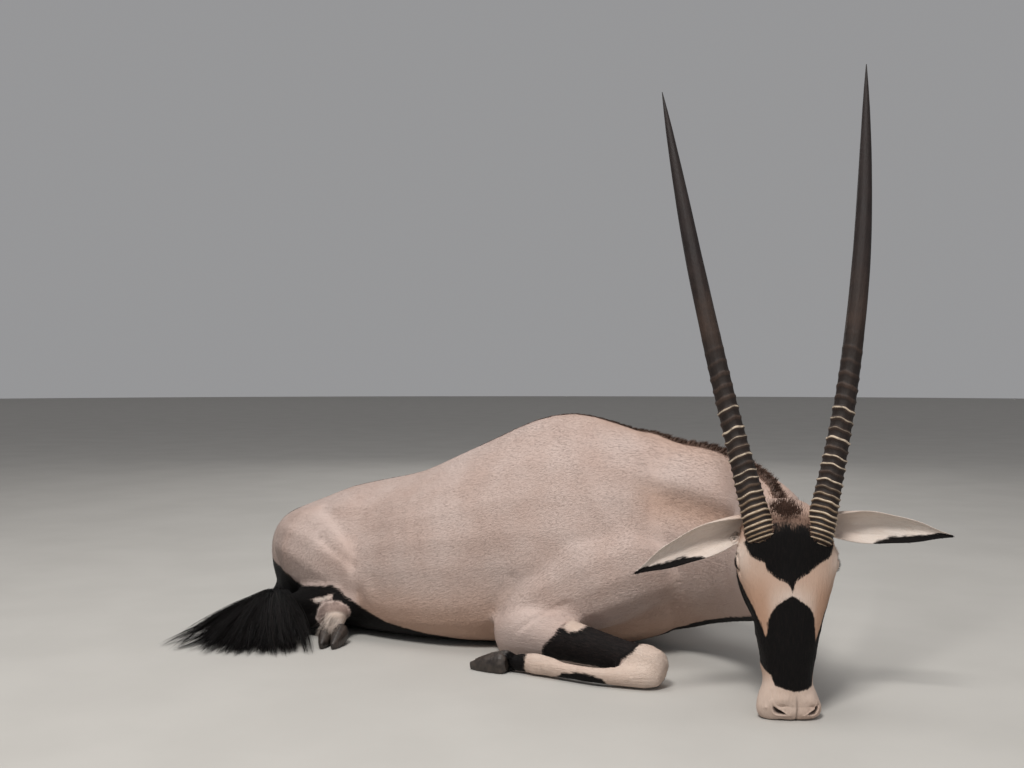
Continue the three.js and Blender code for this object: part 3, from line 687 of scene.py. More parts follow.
# The hollow between the neck's crest and its middle: depth, and height as an angle round the neck
HOLLOW_DEPTH, HOLLOW_ANGLE, HOLLOW_ABOVE, HOLLOW_BELOW = 19, 39, 6, 25


def neck_hollow(mesh, part):
    """How deep the hollow is at each point, from 0 to 1."""
    points = vertex_array(mesh)
    by_neck = part_of(part, "neck", "torso") & (points[:, 0] > 250 * MM)
    share = np.zeros(len(points))
    share[by_neck] = hollow_share(points[by_neck] / MM)
    return relax(share, edges_of(mesh), 14)


def hollow_share(p):
    """The same before it is softened, for points in mm."""
    rows = smoothed(NECK_ROWS, 6)
    side, up = curve_frames(rows[:, :3])
    nearest = ((p[:, None, :2] - rows[None, :, :2]) ** 2).sum(-1).argmin(1)
    d = p - rows[nearest, :3]
    angle = np.degrees(np.arctan2((d * up[nearest]).sum(1), np.abs((d * side[nearest]).sum(1))))
    width = np.where(angle > HOLLOW_ANGLE, HOLLOW_ABOVE, HOLLOW_BELOW)
    way = rows[nearest, 0]
    return ramp(way, 250, 420) * ramp(-way, -634, -575) * bell(angle - HOLLOW_ANGLE, width)


def sculpt(mesh, part, hollow):
    """Raises the details of the head and body, and lowers the skin by the coat's depth."""
    points, normals = vertex_array(mesh), normals_of(mesh)
    p = points / MM
    height = raised(one_side(p), BODY_SPOTS, BODY_LINES) + ribs(p)
    height -= HOLLOW_DEPTH * hollow
    h = in_head(points)
    head = ramp(h[:, 0], -105, -70) * in_head_box(h * (1, 0.9, 1))
    soft = relax(head, edges_of(mesh), 12)
    height *= 1 - soft
    points = points + (height * MM)[:, None] * normals
    ears = part_of(part, "ear_right", "ear_left")
    points = points - (COAT_DEPTH * np.where(ears, 0.12, 1 - 0.5 * soft))[:, None] * normals
    h = in_head(points)
    f, lean = folded(h), muzzle_lean(h)
    side = np.where(h[:, 1] < lean, -1.0, 1.0)[:, None] * (0, 1, 0) + (1, 0, 1)
    n = (normals @ HEAD.T) * side
    shaped = f + (raised(f, HEAD_SPOTS, HEAD_LINES) * head)[:, None] * n
    shaped = sculpt_mouth(shaped, n)
    shaped = sculpt_nostrils(sculpt_eyes(shaped))
    shaped = f + (shaped - f) * (head > 0.5)[:, None]
    points = BROW + ((shaped * side + lean[:, None] * (0, 1, 0)) * MM) @ HEAD
    points[:, 2] = np.maximum(points[:, 2], 0.6 * MM)
    set_vertices(mesh, points)


# Markings. Black and white are distances in mm to the mark's edge, positive inside, so that edges
# stay sharp; brown, tan and bare skin are shares from 0 to 1. Widths go by x: the xs, then the widths.

# Tan and brown also carry painted shade: in the neck's hollow, low on the neck and body, on the face and over
# the hind hock.
MARKS = {"dark": -40.0, "pale": -40.0, "brown": 0.0, "tan": 0.0, "bare": 0.0}

MARK_CENTRE = 0.5  # the middle of the face's marks in the head's y
ROUND_FACE = 50  # radius that turns an angle round the face into a width, mm
NOSE_PATCH = [(80, 1), (84, -11), (88, -18), (99, -33), (114, -43), (132, -48.5), (159, -53), (186, -56),
              (209, -56.5), (230, -50.5), (241, -42), (246, -25), (250, 0), (249.5, 19), (246.4, 41),
              (238, 57), (222, 63), (206, 64), (174, 54), (138, 47), (116, 43), (99, 33.5), (88.5, 18),
              (84, 11)]
CROWN_PATCH = [(74, 0.5), (64.5, -3.8), (58.7, -9), (54.5, -17), (51, -27), (46, -35), (39, -40), (28.4, -43),
               (21, -45.5), (16, -51.5), (12, -57), (5, -60.5), (-3, -62), (-16, -66), (-26, -62), (-42, -48),
               (-54, -30), (-56, 0), (-54, 30), (-42, 48), (-26, 62), (-16, 66), (-6.5, 61), (1.3, 59),
               (9.2, 55.5), (15.7, 48.7), (22, 44), (30, 38), (38, 31.4), (45.8, 17.5), (52.3, 8), (61, 4.5)]
CHEEK_STRIPE = [(-24, 95), (-14, 91), (0, 88), (18, 86.5), (34, 84), (52, 80), (70, 75.5), (88, 70),
                (106, 63.5), (140, 57), (160, 52), (200, 48), (225, 48), (220, 58), (212, 72), (203, 89),
                (192, 106), (176, 122), (150, 128), (118, 124), (82, 114), (44, 106), (8, 104), (-14, 104),
                (-24, 101)]
JAW_LINE, JAW_WIDTH = [(-66, 116), (-46, 128), (-20, 140), (0, 158)], 6
EAR_ROOT_AT, EAR_ROOT_REACH = (-52, 86, -66), 31  # kept free of black, apart from the crown's
CREST_WIDTH = [(-560, -300, 0, 200, 400), (16, 7, 8, 11, 12)]
CROUP_WIDTH = [(-740, -690, -620, -560), (40, 34, 18, -12)]
FLANK_BAND = [(-770, 170), (-700, 158), (-664, 150), (-640, 147), (-618, 142), (-590, 136), (-568, 120),
              (-530, 118), (-500, 119), (-466, 124), (-440, 127), (-424, 122), (-405, 103), (-365, 77),
              (-304, 50), (-215, 30), (-120, 14), (-30, 8), (60, 5), (60, -60), (-770, -60)]
THIGH_SPOT = [(-494, 91), (-470, 98), (-431, 109), (-434, 98), (-474, 84)]
# The patch's top, up to z 118 between x 198 and 330, runs black into the crease under the chest: painted
# shadow there, the forearm's own black below.
FOREARM_PATCH = [(112, 20), (124, 52), (143, 70), (160, 94), (176, 106), (198, 116), (262, 118), (330, 108),
                 (352, 88), (338, 70), (312, 48), (300, 20)]
FOREARM_SPOT = [(165, 92), (174, 104), (190, 112), (206, 108), (213, 96), (202, 87), (184, 85)]
FOREARM_INNER = [(-16, 120, 165, 409), (150, 190, 232, 322)]  # the forearm's marks lie outside these
CANNON_PATCH = [(176, -6), (180, 8), (194, 18), (226, 24), (262, 24), (284, 18), (293, 6), (290, -6)]
HIND_FOOT = [[(-410, 262, 44), (38, 40, 31), 30], [(-424, 252, 58), (50, 46, 38), 40]]  # foot, and hock above
LEFT_AHEAD = {"foreleg": -14, "hindleg": 12}  # how far each left leg lies ahead of the right one


def face_place(h):
    """Head points unrolled: the way down the face, and the width round it, positive on the left."""
    return np.stack([h[:, 0], ROUND_FACE * np.arctan2(h[:, 1] - MARK_CENTRE, h[:, 2] + 46)], 1)


def face_tan_and_shade(x, width, brow):
    """How tan the pale face is: a tan wash over all of it, partly its own colour and partly painted shade,
    warm cheeks, lighter where the two patches nearly meet.
    """
    cheek = ramp(x, 30, 90) * ramp(width, 30, 50) * ramp(-x, -205, -165)
    gap = bell(x - 84, 20) * bell(width, 30)
    beside = bell(x - 110, 30) * bell(width - 42, 9)
    # The 0.74 base is partly the face's own tan and partly painted shade.
    warm = 0.74 + 0.26 * cheek - 0.5 * gap - 0.3 * beside * (1 - cheek) - 0.4 * brow
    return np.clip(np.where(x > 215, warm + (0.52 - warm) * ramp(x, 215, 240), warm), 0, 1)


def put(shown, own, **values):
    """Writes the marks of some of the points."""
    for name, value in values.items():
        shown[name][own] = value


def mark_head(shown, own, h):
    """Nose and crown patches, cheek stripes and jaw; tan face, partly painted shade; bare lids, lips and
    nose.
    """
    place, f = face_place(h), folded(h)
    x, width = place[:, 0], np.abs(place[:, 1])
    beside = np.stack([x, width], 1)
    crown = polygon_distance(place, CROWN_PATCH)
    crown = np.where(x < -18, np.minimum(crown, 4.2 + 0.12 * (x + 18)), crown)
    edge, ahead, _, v = lid_edge(f)
    rim = np.where(ahead > 0, np.where(v > 0, 0.6, 2.4) - edge, -40)
    stripe, jaw = polygon_distance(beside, CHEEK_STRIPE), JAW_WIDTH - line_place(beside, JAW_LINE)[0]
    dark = 1.8 * np.max([polygon_distance(place, NOSE_PATCH), crown, stripe, jaw, rim], axis=0)
    by_ear = 1.5 * (np.linalg.norm(f - EAR_ROOT_AT, axis=1) - EAR_ROOT_REACH)
    dark = np.where(crown > -12, dark, np.minimum(dark, by_ear))
    pale = 1.3 * np.minimum(60, 16 + 0.6 * (f[:, 0] + 6) - 0.25 * (f[:, 1] - 60))
    brow = near(f, (10, 92, -32), (30, 26, 22))
    tan = face_tan_and_shade(x, width, brow) * (0.45 + 0.55 * ramp(f[:, 0], -105, -45))

    nostrils = 0.9 * ramp(-nostril_edge(f)[0], -1.05, -0.75)
    gap = np.abs(f[:, 2] - mouth_height(f[:, 0]))
    lips = ramp(f[:, 0], MOUTH_CORNER - 4, MOUTH_CORNER + 4) * ramp(-gap, -2.6, -0.8)
    nose_skin = 0.35 * ramp(f[:, 0], 296, 304) * ramp(-f[:, 1], -22, -12) * ramp(f[:, 2], -44, -36)
    lids = np.where(ahead > 0, ramp(-edge, -2.2, -1.2), 0)
    midline = 0.5 * bell(f[:, 1], 1.7) * ramp(f[:, 0], 252, 272) * (f[:, 2] > -60)
    bare = np.max([nostrils, lips, nose_skin, lids, midline], axis=0)
    put(shown, own, dark=dark, pale=pale, tan=tan, bare=bare)


def mark_crest(shown, own, p, up, on_neck, hollow):
    """Black throat, brown line along the crest and the back; tan and brown in the neck's hollow and tan low
    down, which are painted shade.
    """
    gap = line_place(p[:, :2], smoothed(NECK_ROWS, 4)[:, :2])[0]
    throat = np.where((up < -0.2) & (p[:, 0] > 170), 34 - gap, -40)
    crest = np.where(on_neck, gap, np.abs(p[:, 1]))
    line = np.clip(1.25 - crest / np.interp(p[:, 0], *CREST_WIDTH), 0, 1) * (up > 0.3)
    warm = 0.5 * bell(crest, 45) * (up > 0.3) * ramp(p[:, 0], -100, 300)
    # Painted shade: tan low on the neck and body, full below 30 mm and gone above 190 mm.
    painted_underside_shade = 0.7 * ramp(-p[:, 2], -190, -30)
    # Painted shade: tan and brown in the neck's hollow under the crest.
    put(shown, own, dark=throat, brown=np.maximum(line, 0.4 * hollow),
        tan=np.max([0.7 * hollow, warm, painted_underside_shade], axis=0))


def mark_poll(shown, own, h):
    """Brown tuft behind the horns, and mottled brown between them."""
    poll = np.clip(1.25 - np.linalg.norm((h - (-79, -7, -22)) / (24, 23, 24), axis=1), 0, 0.9)
    mottled = 0.62 * ramp(-h[:, 0], 12, 30) * ramp(h[:, 0], -92, -60)
    mottled = mottled * (np.abs(h[:, 1]) < 44) * (h[:, 2] > -34)
    put(shown, own, brown=np.max([shown["brown"][own], poll, mottled], axis=0))


def mark_trunk(shown, own, p, up):
    """Black on the croup, white below the belly."""
    croup = np.where((up > 0) & (p[:, 0] < -540), np.interp(p[:, 0], *CROUP_WIDTH) - np.abs(p[:, 1]), -40)
    belly = np.where(p[:, 0] < -60, 150 - np.abs(p[:, 1]), -40)
    put(shown, own, dark=np.maximum(shown["dark"][own], croup), pale=np.minimum(belly, 6 - p[:, 2]))


def mark_flank(shown, own, p):
    """The black band along the lower flank and thigh, round the thigh's pale spot."""
    flat = p[:, (0, 2)]
    band = np.minimum(polygon_distance(flat, FLANK_BAND), -polygon_distance(flat, THIGH_SPOT))
    put(shown, own, dark=np.maximum(shown["dark"][own], band))


def mark_leg(shown, own, p, name):
    """The left leg's marks are the right one's, a little ahead of them or behind."""
    pair, side, half = name.split("_")
    q = p * (1, -SIDES[side], 1) - (LEFT_AHEAD[pair] * (side == "left"), 0, 0)
    flat = q[:, (0, 2)]
    if pair == "hindleg":
        foot, hock = (rise * (1 - np.linalg.norm((q - at) / reach, axis=1)) for at, reach, rise in HIND_FOOT)
        dark = shown["dark"][own] if half == "upper" else 40
        pale = np.maximum(polygon_distance(flat, THIGH_SPOT) - 2, foot)
        # The brown over the hock, above the white foot, is painted shade.
        put(shown, own, dark=np.minimum(dark, -hock), pale=pale, tan=0.3 * ramp(foot, -3, 3),
            brown=0.5 * ramp(hock, 0, 4) * (1 - ramp(foot, 0, 9)))
    elif half == "upper":
        outer = np.abs(q[:, 1]) - np.interp(q[:, 0], *FOREARM_INNER)
        spot = np.minimum(polygon_distance(flat, FOREARM_SPOT), outer)
        dark = np.min([polygon_distance(flat, FOREARM_PATCH), -spot, outer], axis=0)
        pale = np.maximum(np.minimum(q[:, 0] - 318, 108 - q[:, 2]), spot - 1)
        put(shown, own, dark=dark, pale=pale, tan=0.42 * ramp(pale, -6, 0))
    else:
        dark = np.maximum(polygon_distance(flat, CANNON_PATCH), 106 - q[:, 0])
        put(shown, own, dark=dark, pale=20, tan=0.42)


def marks(points, normals, part, hollow):
    """The coat's marks at each point: black, white, brown, tan and bare skin."""
    p, h, up = points / MM, in_head(points), normals[:, 2]
    shown = {name: np.full(len(p), start) for name, start in MARKS.items()}
    of = {name: part_of(part, name) for name in FLESH}
    mark_head(shown, of["head"], h[of["head"]])
    own = of["neck"] | of["torso"]
    mark_crest(shown, own, p[own], up[own], of["neck"][own], hollow[own])
    own = of["neck"] | of["head"]
    mark_poll(shown, own, h[own])
    mark_trunk(shown, of["torso"], p[of["torso"]], up[of["torso"]])
    own = of["torso"] | of["hindleg_right_upper"] | of["hindleg_left_upper"]
    mark_flank(shown, own, p[own])
    for name in LEGS:
        mark_leg(shown, of[name], p[of[name]], name)
    put(shown, of["tail"], dark=30)
    for side in EARS:
        own = of[f"ear_{side}"]
        put(shown, own, **ear_marks(points[own], side))
    for name in ("dark", "pale"):
        shown[name] = np.clip(shown[name], -40, 40)
    return shown


def ear_marks(points, side):
    """Black along the lower edge of the tip, white elsewhere, tan at the back and the root."""
    outer, inner, share, turn = ear_grid(**EARS[side])
    grid = np.vstack([outer.reshape(-1, 3), inner.reshape(-1, 3)])
    closest = np.array([np.argmin(((grid - q) ** 2).sum(1)) for q in points])
    inside = closest >= outer.shape[0] * outer.shape[1]
    cell = closest % (outer.shape[0] * outer.shape[1])
    s, t = share[cell // EAR_COLUMNS], turn[cell % EAR_COLUMNS]
    lower = t * lower_edge(side)
    width = np.interp(s, [0, 0.36, 0.46, 0.58, 0.7, 0.85, 1.0], [-2, -1.0, 0.12, 0.5, 0.5, 0.75, 2.2])
    dark = (lower - 1 + width) * 24
    pale = np.where(inside, 30, 18 - 26 * ramp(-s, -0.2, -0.02))
    tan = np.where(inside, 0.0, 0.12 + 0.5 * ramp(-s, -0.3, -0.05))
    bare = np.where(inside, 0.35 * ramp(-s, -0.36, -0.12) * (1 - np.abs(t)), 0)
    return dict(dark=dark, pale=pale, tan=tan, bare=bare)


def lower_edge(side):
    """1 or -1: the edge of the ear's cup that faces the floor."""
    outer, _, _, _ = ear_grid(**EARS[side])
    middle = outer.shape[0] // 2
    return 1.0 if outer[middle, -1, 2] < outer[middle, 0, 2] else -1.0


# The lie of the coat: lines that the hair follows, from its root to its tip

TRUNK_LIE = unit((-1, 0, -0.3))
FLOWS = {
    "foreleg_upper": [[(352, -112, 214), (190, -166, 166), (20, -204, 80)],
                      [(-16, -212, 58), (145, -254, 62), (409, -349, 44)]],
    "foreleg_lower": [[(396, -352, 27), (262, -372, 23), (152, -349, 25), (66, -337, 22)]],
    "hindleg_upper": [[(-420, -190, 330), (-500, -215, 230), (-575, -205, 100)],
                      [(-392, -186, 92), (-512, -204, 76), (-666, -188, 40)]],
    "hindleg_lower": [[(-654, -198, 28), (-530, -220, 30), (-411, -256, 46)]],
}
GRAIN = 0.86  # how far coordinates are pressed together along the hair
STRAIGHT = {"torso": TRUNK_LIE, "head": HEAD[0], **{f"ear_{side}": ear_way(side) for side in EARS}}


def hair_lines(name):
    """The lines that the hair of the neck, the tail or a leg follows."""
    if name in ("neck", "tail"):
        return [smoothed(NECK_ROWS if name == "neck" else DOCK_ROWS, 3)[:, :3]]
    pair, side, half = name.split("_")
    return [np.array(line) * (1, SIDES[side], 1) for line in FLOWS[f"{pair}_{half}"]]


def grain_of(points, part):
    """Coordinates pressed together along the hair, so that noise over them makes streaks."""
    p = points / MM
    grain = p.copy()
    for name in FLESH:
        own = part_of(part, name)
        if name in STRAIGHT:
            way = STRAIGHT[name]
            grain[own] -= GRAIN * (p[own] @ way)[:, None] * way
        else:
            grain[own] -= GRAIN * line_place(p[own], np.vstack(hair_lines(name)))[1]
    return grain * MM


def lie_of(points, part):
    """The way that the hair lies at each point."""
    p, h = points / MM, in_head(points)
    lie = np.zeros_like(p)
    for name in FLESH:
        own = part_of(part, name)
        if name in STRAIGHT:
            lie[own] = STRAIGHT[name]
            continue
        gaps, _, ways = zip(*(line_place(p[own], line) for line in hair_lines(name)))
        way = np.array(ways)[np.argmin(gaps, axis=0), np.arange(own.sum())]
        lie[own] = unit(-way + (0, 0, -0.25)) if name == "neck" else unit(way)
    head = part_of(part, "head")
    spread = np.stack([-np.ones(head.sum()), 0.004 * h[head, 1], 0.25 * np.sign(h[head, 2] + 60)], 1)
    lie[head] = unit(spread @ HEAD)
    return lie


def parts_of(points, parts):
    """The number in FLESH of the body of flesh that each point lies nearest to."""
    meshes = dict(parts)
    for side in EARS:
        meshes[f"ear_{side}"] = ear_shell(side)
    verts, faces = joined([meshes[name] for name in FLESH])
    owner = np.concatenate([[i] * len(meshes[name][1]) for i, name in enumerate(FLESH)])
    tree = BVHTree.FromPolygons(verts.tolist(), faces)
    return np.array([owner[tree.find_nearest(q)[2]] for q in points.tolist()])


def unwrap(obj):
    """Lays the skin out flat in a map named OFBake."""
    obj.data.uv_layers.new(name="OFBake")
    bpy.context.view_layer.objects.active = obj
    obj.select_set(True)
    bpy.ops.object.mode_set(mode="EDIT")
    bpy.ops.mesh.select_all(action="SELECT")
    bpy.ops.uv.smart_project(angle_limit=1.15, island_margin=0.002)
    bpy.ops.object.mode_set(mode="OBJECT")
    obj.select_set(False)


def seams(points, grain, edges):
    """1 where the grain's coordinates jump from one point to the next, fading away beside it."""
    a, b = edges.T
    jump = np.linalg.norm(grain[a] - grain[b], axis=1) > 1.3 * np.linalg.norm(points[a] - points[b], axis=1)
    border = np.zeros(len(points))
    border[edges[jump].ravel()] = 1
    return np.clip(np.maximum(border, 1.5 * relax(border, edges, 2)), 0, 1)


def build_skin():
    """The skin with its shapes, marks, lie of hair and map."""
    parts = flesh_parts()
    skin = blank_skin(parts)
    add_ears(skin)
    mesh = skin.data
    part = parts_of(vertex_array(mesh), parts)
    hollow = neck_hollow(mesh, part)
    sculpt(mesh, part, hollow)
    points, normals = vertex_array(mesh), normals_of(mesh)
    edges = edges_of(mesh)
    shown = marks(points, normals, part, hollow)
    shown["tan"] = relax(shown["tan"], edges, 4)
    for name, values in shown.items():
        set_values(mesh, name, values)
    set_values(mesh, "at", points)
    lie = relax(lie_of(points, part), edges, 30)
    lie = unit(lie - normals * (lie * normals).sum(1)[:, None])
    set_values(mesh, "lie", lie)
    grain = grain_of(points, part)
    set_values(mesh, "grain", grain)
    set_values(mesh, "seam", seams(points, grain, edges))
    # Painted sheen: the black on the upper forelegs is lightened through the tint.
    painted_sheen = part_of(part, "foreleg_right_upper", "foreleg_left_upper") * ramp(shown["dark"], 3, 10)
    set_values(mesh, "tint", 0.94 + 1.9 * painted_sheen)
    unwrap(skin)
    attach(skin, "root")
    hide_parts(*FLESH)
    return skin, part


# Materials. Colours are linear.

def srgb(*levels):
    """A linear colour from levels of 0 to 255 as a screen shows them."""
    linear = (((v / 255 + 0.055) / 1.055) ** 2.4 if v > 10 else v / 255 / 12.92 for v in levels)
    return (*linear, 1.0)


class Nodes:
    """Short ways to add and join the nodes of one material."""

    def __init__(self, name):
        self.material = bpy.data.materials.new(name)
        self.material.use_nodes = True
        self.tree = self.material.node_tree
        self.shader = next(n for n in self.tree.nodes if n.type == "BSDF_PRINCIPLED")

    def add(self, kind, inputs=None, **settings):
        node = self.tree.nodes.new(kind)
        for key, value in settings.items():
            setattr(node, key, value)
        for key, value in (inputs or {}).items():
            self.feed(node.inputs[key], value)
        return node

    def feed(self, socket, value):
        if isinstance(value, bpy.types.NodeSocket):
            self.tree.links.new(value, socket)
        else:
            socket.default_value = value

    def attribute(self, name, vector=False):
        node = self.add("ShaderNodeAttribute", attribute_name=name)
        return node.outputs["Vector" if vector else "Fac"]

    def math(self, operation, *values):
        node = self.add("ShaderNodeMath", operation=operation)
        for socket, value in zip(node.inputs, values):
            self.feed(socket, value)
        return node.outputs[0]

    def plus(self, a, b):
        return self.math("ADD", a, b)

    def times(self, a, b):
        return self.math("MULTIPLY", a, b)

    def noise(self, vector, scale, detail=2.0, roughness=0.5):
        settings = {"Vector": vector, "Scale": scale, "Detail": detail, "Roughness": roughness}
        return self.add("ShaderNodeTexNoise", settings).outputs["Fac"]

    def step(self, value, low, high, to=(0.0, 1.0)):
        settings = {"Value": value, "From Min": low, "From Max": high, "To Min": to[0], "To Max": to[1]}
        node = self.add("ShaderNodeMapRange", settings, interpolation_type="SMOOTHSTEP")
        return node.outputs["Result"]

    def blend(self, share, a, b):
        """A number between a and b."""
        node = self.add("ShaderNodeMix", {0: share, 2: a, 3: b}, data_type="FLOAT")
        return node.outputs[0]

    def mix(self, share, a, b, blend="MIX"):
        node = self.add("ShaderNodeMix", data_type="RGBA", blend_type=blend)
        self.feed(node.inputs[0], share)
        self.feed(node.inputs[6], a)
        self.feed(node.inputs[7], b)
        return node.outputs[2]

    def bump(self, height, distance, strength=1.0, after=None):
        settings = {"Height": height, "Distance": distance, "Strength": strength}
        if after is not None:
            settings["Normal"] = after
        return self.add("ShaderNodeBump", settings).outputs["Normal"]

    def finish(self, color, roughness, normal=None, **sockets):
        self.feed(self.shader.inputs["Base Color"], color)
        self.feed(self.shader.inputs["Roughness"], roughness)
        if normal is not None:
            self.feed(self.shader.inputs["Normal"], normal)
        for name, value in sockets.items():
            self.feed(self.shader.inputs[name.replace("_", " ")], value)
        return self.material


FAWN, FAWN_WARM = srgb(200, 181, 173), srgb(189, 166, 156)
WHITE, WHITE_WARM = srgb(230, 220, 211), srgb(220, 203, 191)
BLACK, BLACK_WARM = srgb(9, 7, 7), srgb(20, 15, 14)
TAN, BROWN, FLECK = srgb(180, 144, 121), srgb(82, 60, 50), srgb(128, 100, 90)
SKIN_DARK = srgb(52, 41, 39)


def coat_material(name, hair_bump):
    """Skin and hair: fawn, then tan, white, brown, black and bare skin over it, with streaks."""
    n = Nodes(name)
    at, grain = n.attribute("at", True), n.attribute("grain", True)
    broad = n.noise(at, 9.0, 3.0)
    patchy = n.math("SUBTRACT", n.noise(at, 55.0, 2.0), 0.5)
    seam = n.attribute("seam")
    fine = n.math("SUBTRACT", n.blend(seam, n.noise(grain, 420.0, 2.0), n.noise(at, 300.0, 2.0)), 0.5)
    ragged = n.plus(n.times(patchy, 8.0), n.times(fine, 9.0))
    tone = n.plus(broad, n.times(fine, 0.4))
    color = n.mix(n.step(tone, 0.25, 0.75), FAWN_WARM, FAWN)
    flecks = n.step(n.noise(at, 260.0, 1.0), 0.74, 0.82)
    few = n.step(n.noise(at, 16.0, 2.0), 0.45, 0.65)
    color = n.mix(n.times(n.times(flecks, few), 0.4), color, FLECK)
    color = n.mix(n.plus(n.attribute("tan"), n.times(fine, 0.25)), color, TAN)
    pale = n.step(n.plus(n.attribute("pale"), ragged), -4.0, 5.0)
    white = n.mix(n.step(tone, 0.3, 0.8), WHITE_WARM, WHITE)
    white = n.mix(n.attribute("tan"), white, TAN)
    color = n.mix(pale, color, white)
    brown = n.step(n.plus(n.attribute("brown"), n.times(ragged, 0.03)), 0.15, 0.8)
    color = n.mix(brown, color, BROWN)
    dark = n.step(n.plus(n.attribute("dark"), ragged), -2.5, 2.5)
    black = n.mix(n.step(fine, -0.1, 0.3), BLACK, BLACK_WARM)
    color = n.mix(dark, color, black)
    color = n.mix(n.attribute("bare"), color, SKIN_DARK)
    tint = n.add("ShaderNodeCombineXYZ", {k: n.attribute("tint") for k in "XYZ"}).outputs[0]
    color = n.mix(1.0, color, tint, "MULTIPLY")
    streaks = n.blend(seam, n.noise(grain, 900.0, 3.0, 0.6), n.noise(at, 600.0, 3.0, 0.6))
    clumps = n.blend(seam, n.noise(grain, 260.0, 2.0), n.noise(at, 200.0, 2.0))
    normal = n.bump(n.plus(streaks, clumps), hair_bump)
    roughness = n.plus(n.times(n.attribute("bare"), -0.2), 0.66)
    return n.finish(color, roughness, normal, Specular_IOR_Level=0.13, Sheen_Weight=0.03,
                    Sheen_Roughness=0.4)


def horn_material():
    """Brown, black towards the tip, with pale crests on the rings, partly wear and partly painted highlight,
    painted shade in the grooves between the lower rings, and a pale root.
    """
    n = Nodes("horn_keratin")
    grain, ring, share = n.attribute("grain", True), n.attribute("ring"), n.attribute("share")
    fibre = n.noise(grain, 700.0, 4.0, 0.6)
    cloud = n.noise(n.attribute("at", True), 22.0, 3.0)
    tone = n.plus(n.times(fibre, 0.55), n.times(cloud, 0.5))
    low = n.mix(n.step(tone, 0.3, 0.75), srgb(34, 25, 21), srgb(70, 54, 45))
    top = n.mix(n.step(tone, 0.3, 0.75), srgb(24, 17, 16), srgb(42, 33, 31))
    color = n.mix(n.step(share, 0.38, 0.62), low, top)
    root = n.step(share, 0.12, 0.01)
    slope = n.mix(n.step(tone, 0.25, 0.7), srgb(110, 84, 62), srgb(160, 134, 104))
    color = n.mix(n.times(n.times(root, n.step(ring, 0.05, 0.5)), 0.85), color, slope)
    # Painted shade: the grooves between the lower rings darkened.
    valley_shade = n.times(n.step(ring, 0.35, 0.05), n.step(share, 0.46, 0.36))
    color = n.mix(n.times(valley_shade, 0.75), color, srgb(22, 16, 14))
    low_crest, high_crest = n.step(root, 0.0, 1.0, (0.58, 0.42)), n.step(root, 0.0, 1.0, (0.9, 0.8))
    crest = n.step(ring, low_crest, high_crest)
    # The crests' pale colour is partly wear and partly a painted highlight.
    worn = n.step(n.noise(n.attribute("at", True), 90.0, 2.0), 0.3, 0.55, (0.45, 0.95))
    color = n.mix(n.times(crest, worn), color, srgb(206, 188, 166))
    color = n.mix(n.step(share, 0.93, 1.0), color, srgb(36, 31, 30))
    roughness = n.step(tone, 0.2, 0.8, (0.5, 0.72))
    normal = n.bump(fibre, 0.0009)
    return n.finish(color, roughness, normal, Specular_IOR_Level=0.28)


def hoof_material():
    """Dark grey, worn and finely ringed."""
    n = Nodes("hoof_keratin")
    at, share = n.attribute("at", True), n.attribute("share")
    worn = n.noise(at, 60.0, 4.0, 0.65)
    rings = n.noise(n.add("ShaderNodeCombineXYZ", {"X": share}).outputs[0], 26.0, 2.0)
    tone = n.plus(n.times(worn, 0.8), n.times(rings, 0.2))
    color = n.mix(n.step(tone, 0.3, 0.7), srgb(30, 25, 23), srgb(66, 57, 51))
    normal = n.bump(n.plus(n.times(rings, 0.5), n.times(worn, 0.4)), 0.0012)
    return n.finish(color, n.step(tone, 0.3, 0.7, (0.38, 0.6)), normal)


def eye_material():
    """A dark brown iris round a long, level pupil."""
    n = Nodes("eye_wet")
    pupil = n.attribute("pupil")
    speckle = n.noise(n.attribute("at", True), 900.0, 2.0)
    iris = n.mix(n.step(speckle, 0.3, 0.7), srgb(24, 13, 8), srgb(44, 25, 15))
    color = n.mix(n.step(pupil, 0.85, 1.3), srgb(6, 5, 6), iris)
    color = n.mix(n.step(pupil, 3.0, 3.6), color, srgb(20, 12, 10))
    return n.finish(color, 0.09, None, Specular_IOR_Level=0.45)


# Horns

HORN_BASE_RADIUS = 28
RING_COUNT, FIRST_RING_STEP, RING_STEP_GROWTH, RING_HEIGHT = 23, 9.5, 1.052, 3.3
LOW_RINGS = 4  # at the root, partly under the skin
HORN_SINK = 30
HORN_DIVE = 36  # how far the root bends into the skull
HORN_OVAL = 1.08  # depth to width
RINGS_END = 480
HORNS = {
    "right": dict(base=(-30, -52, -22), length=954, spread=9.4, rake=17.5, bow=12),
    "left": dict(base=(-30, 52, -22), length=976, spread=9.4, rake=12.5, bow=31),
}
HORN_TAPER = [(0, 1), (0.06, 0.88), (0.14, 0.77), (0.22, 0.71), (0.3, 0.685), (0.46, 0.655), (0.55, 0.63),
              (0.64, 0.58), (0.72, 0.51), (0.81, 0.405), (0.9, 0.265), (0.95, 0.16), (1, 0.03)]
HORN_SIDES = 40


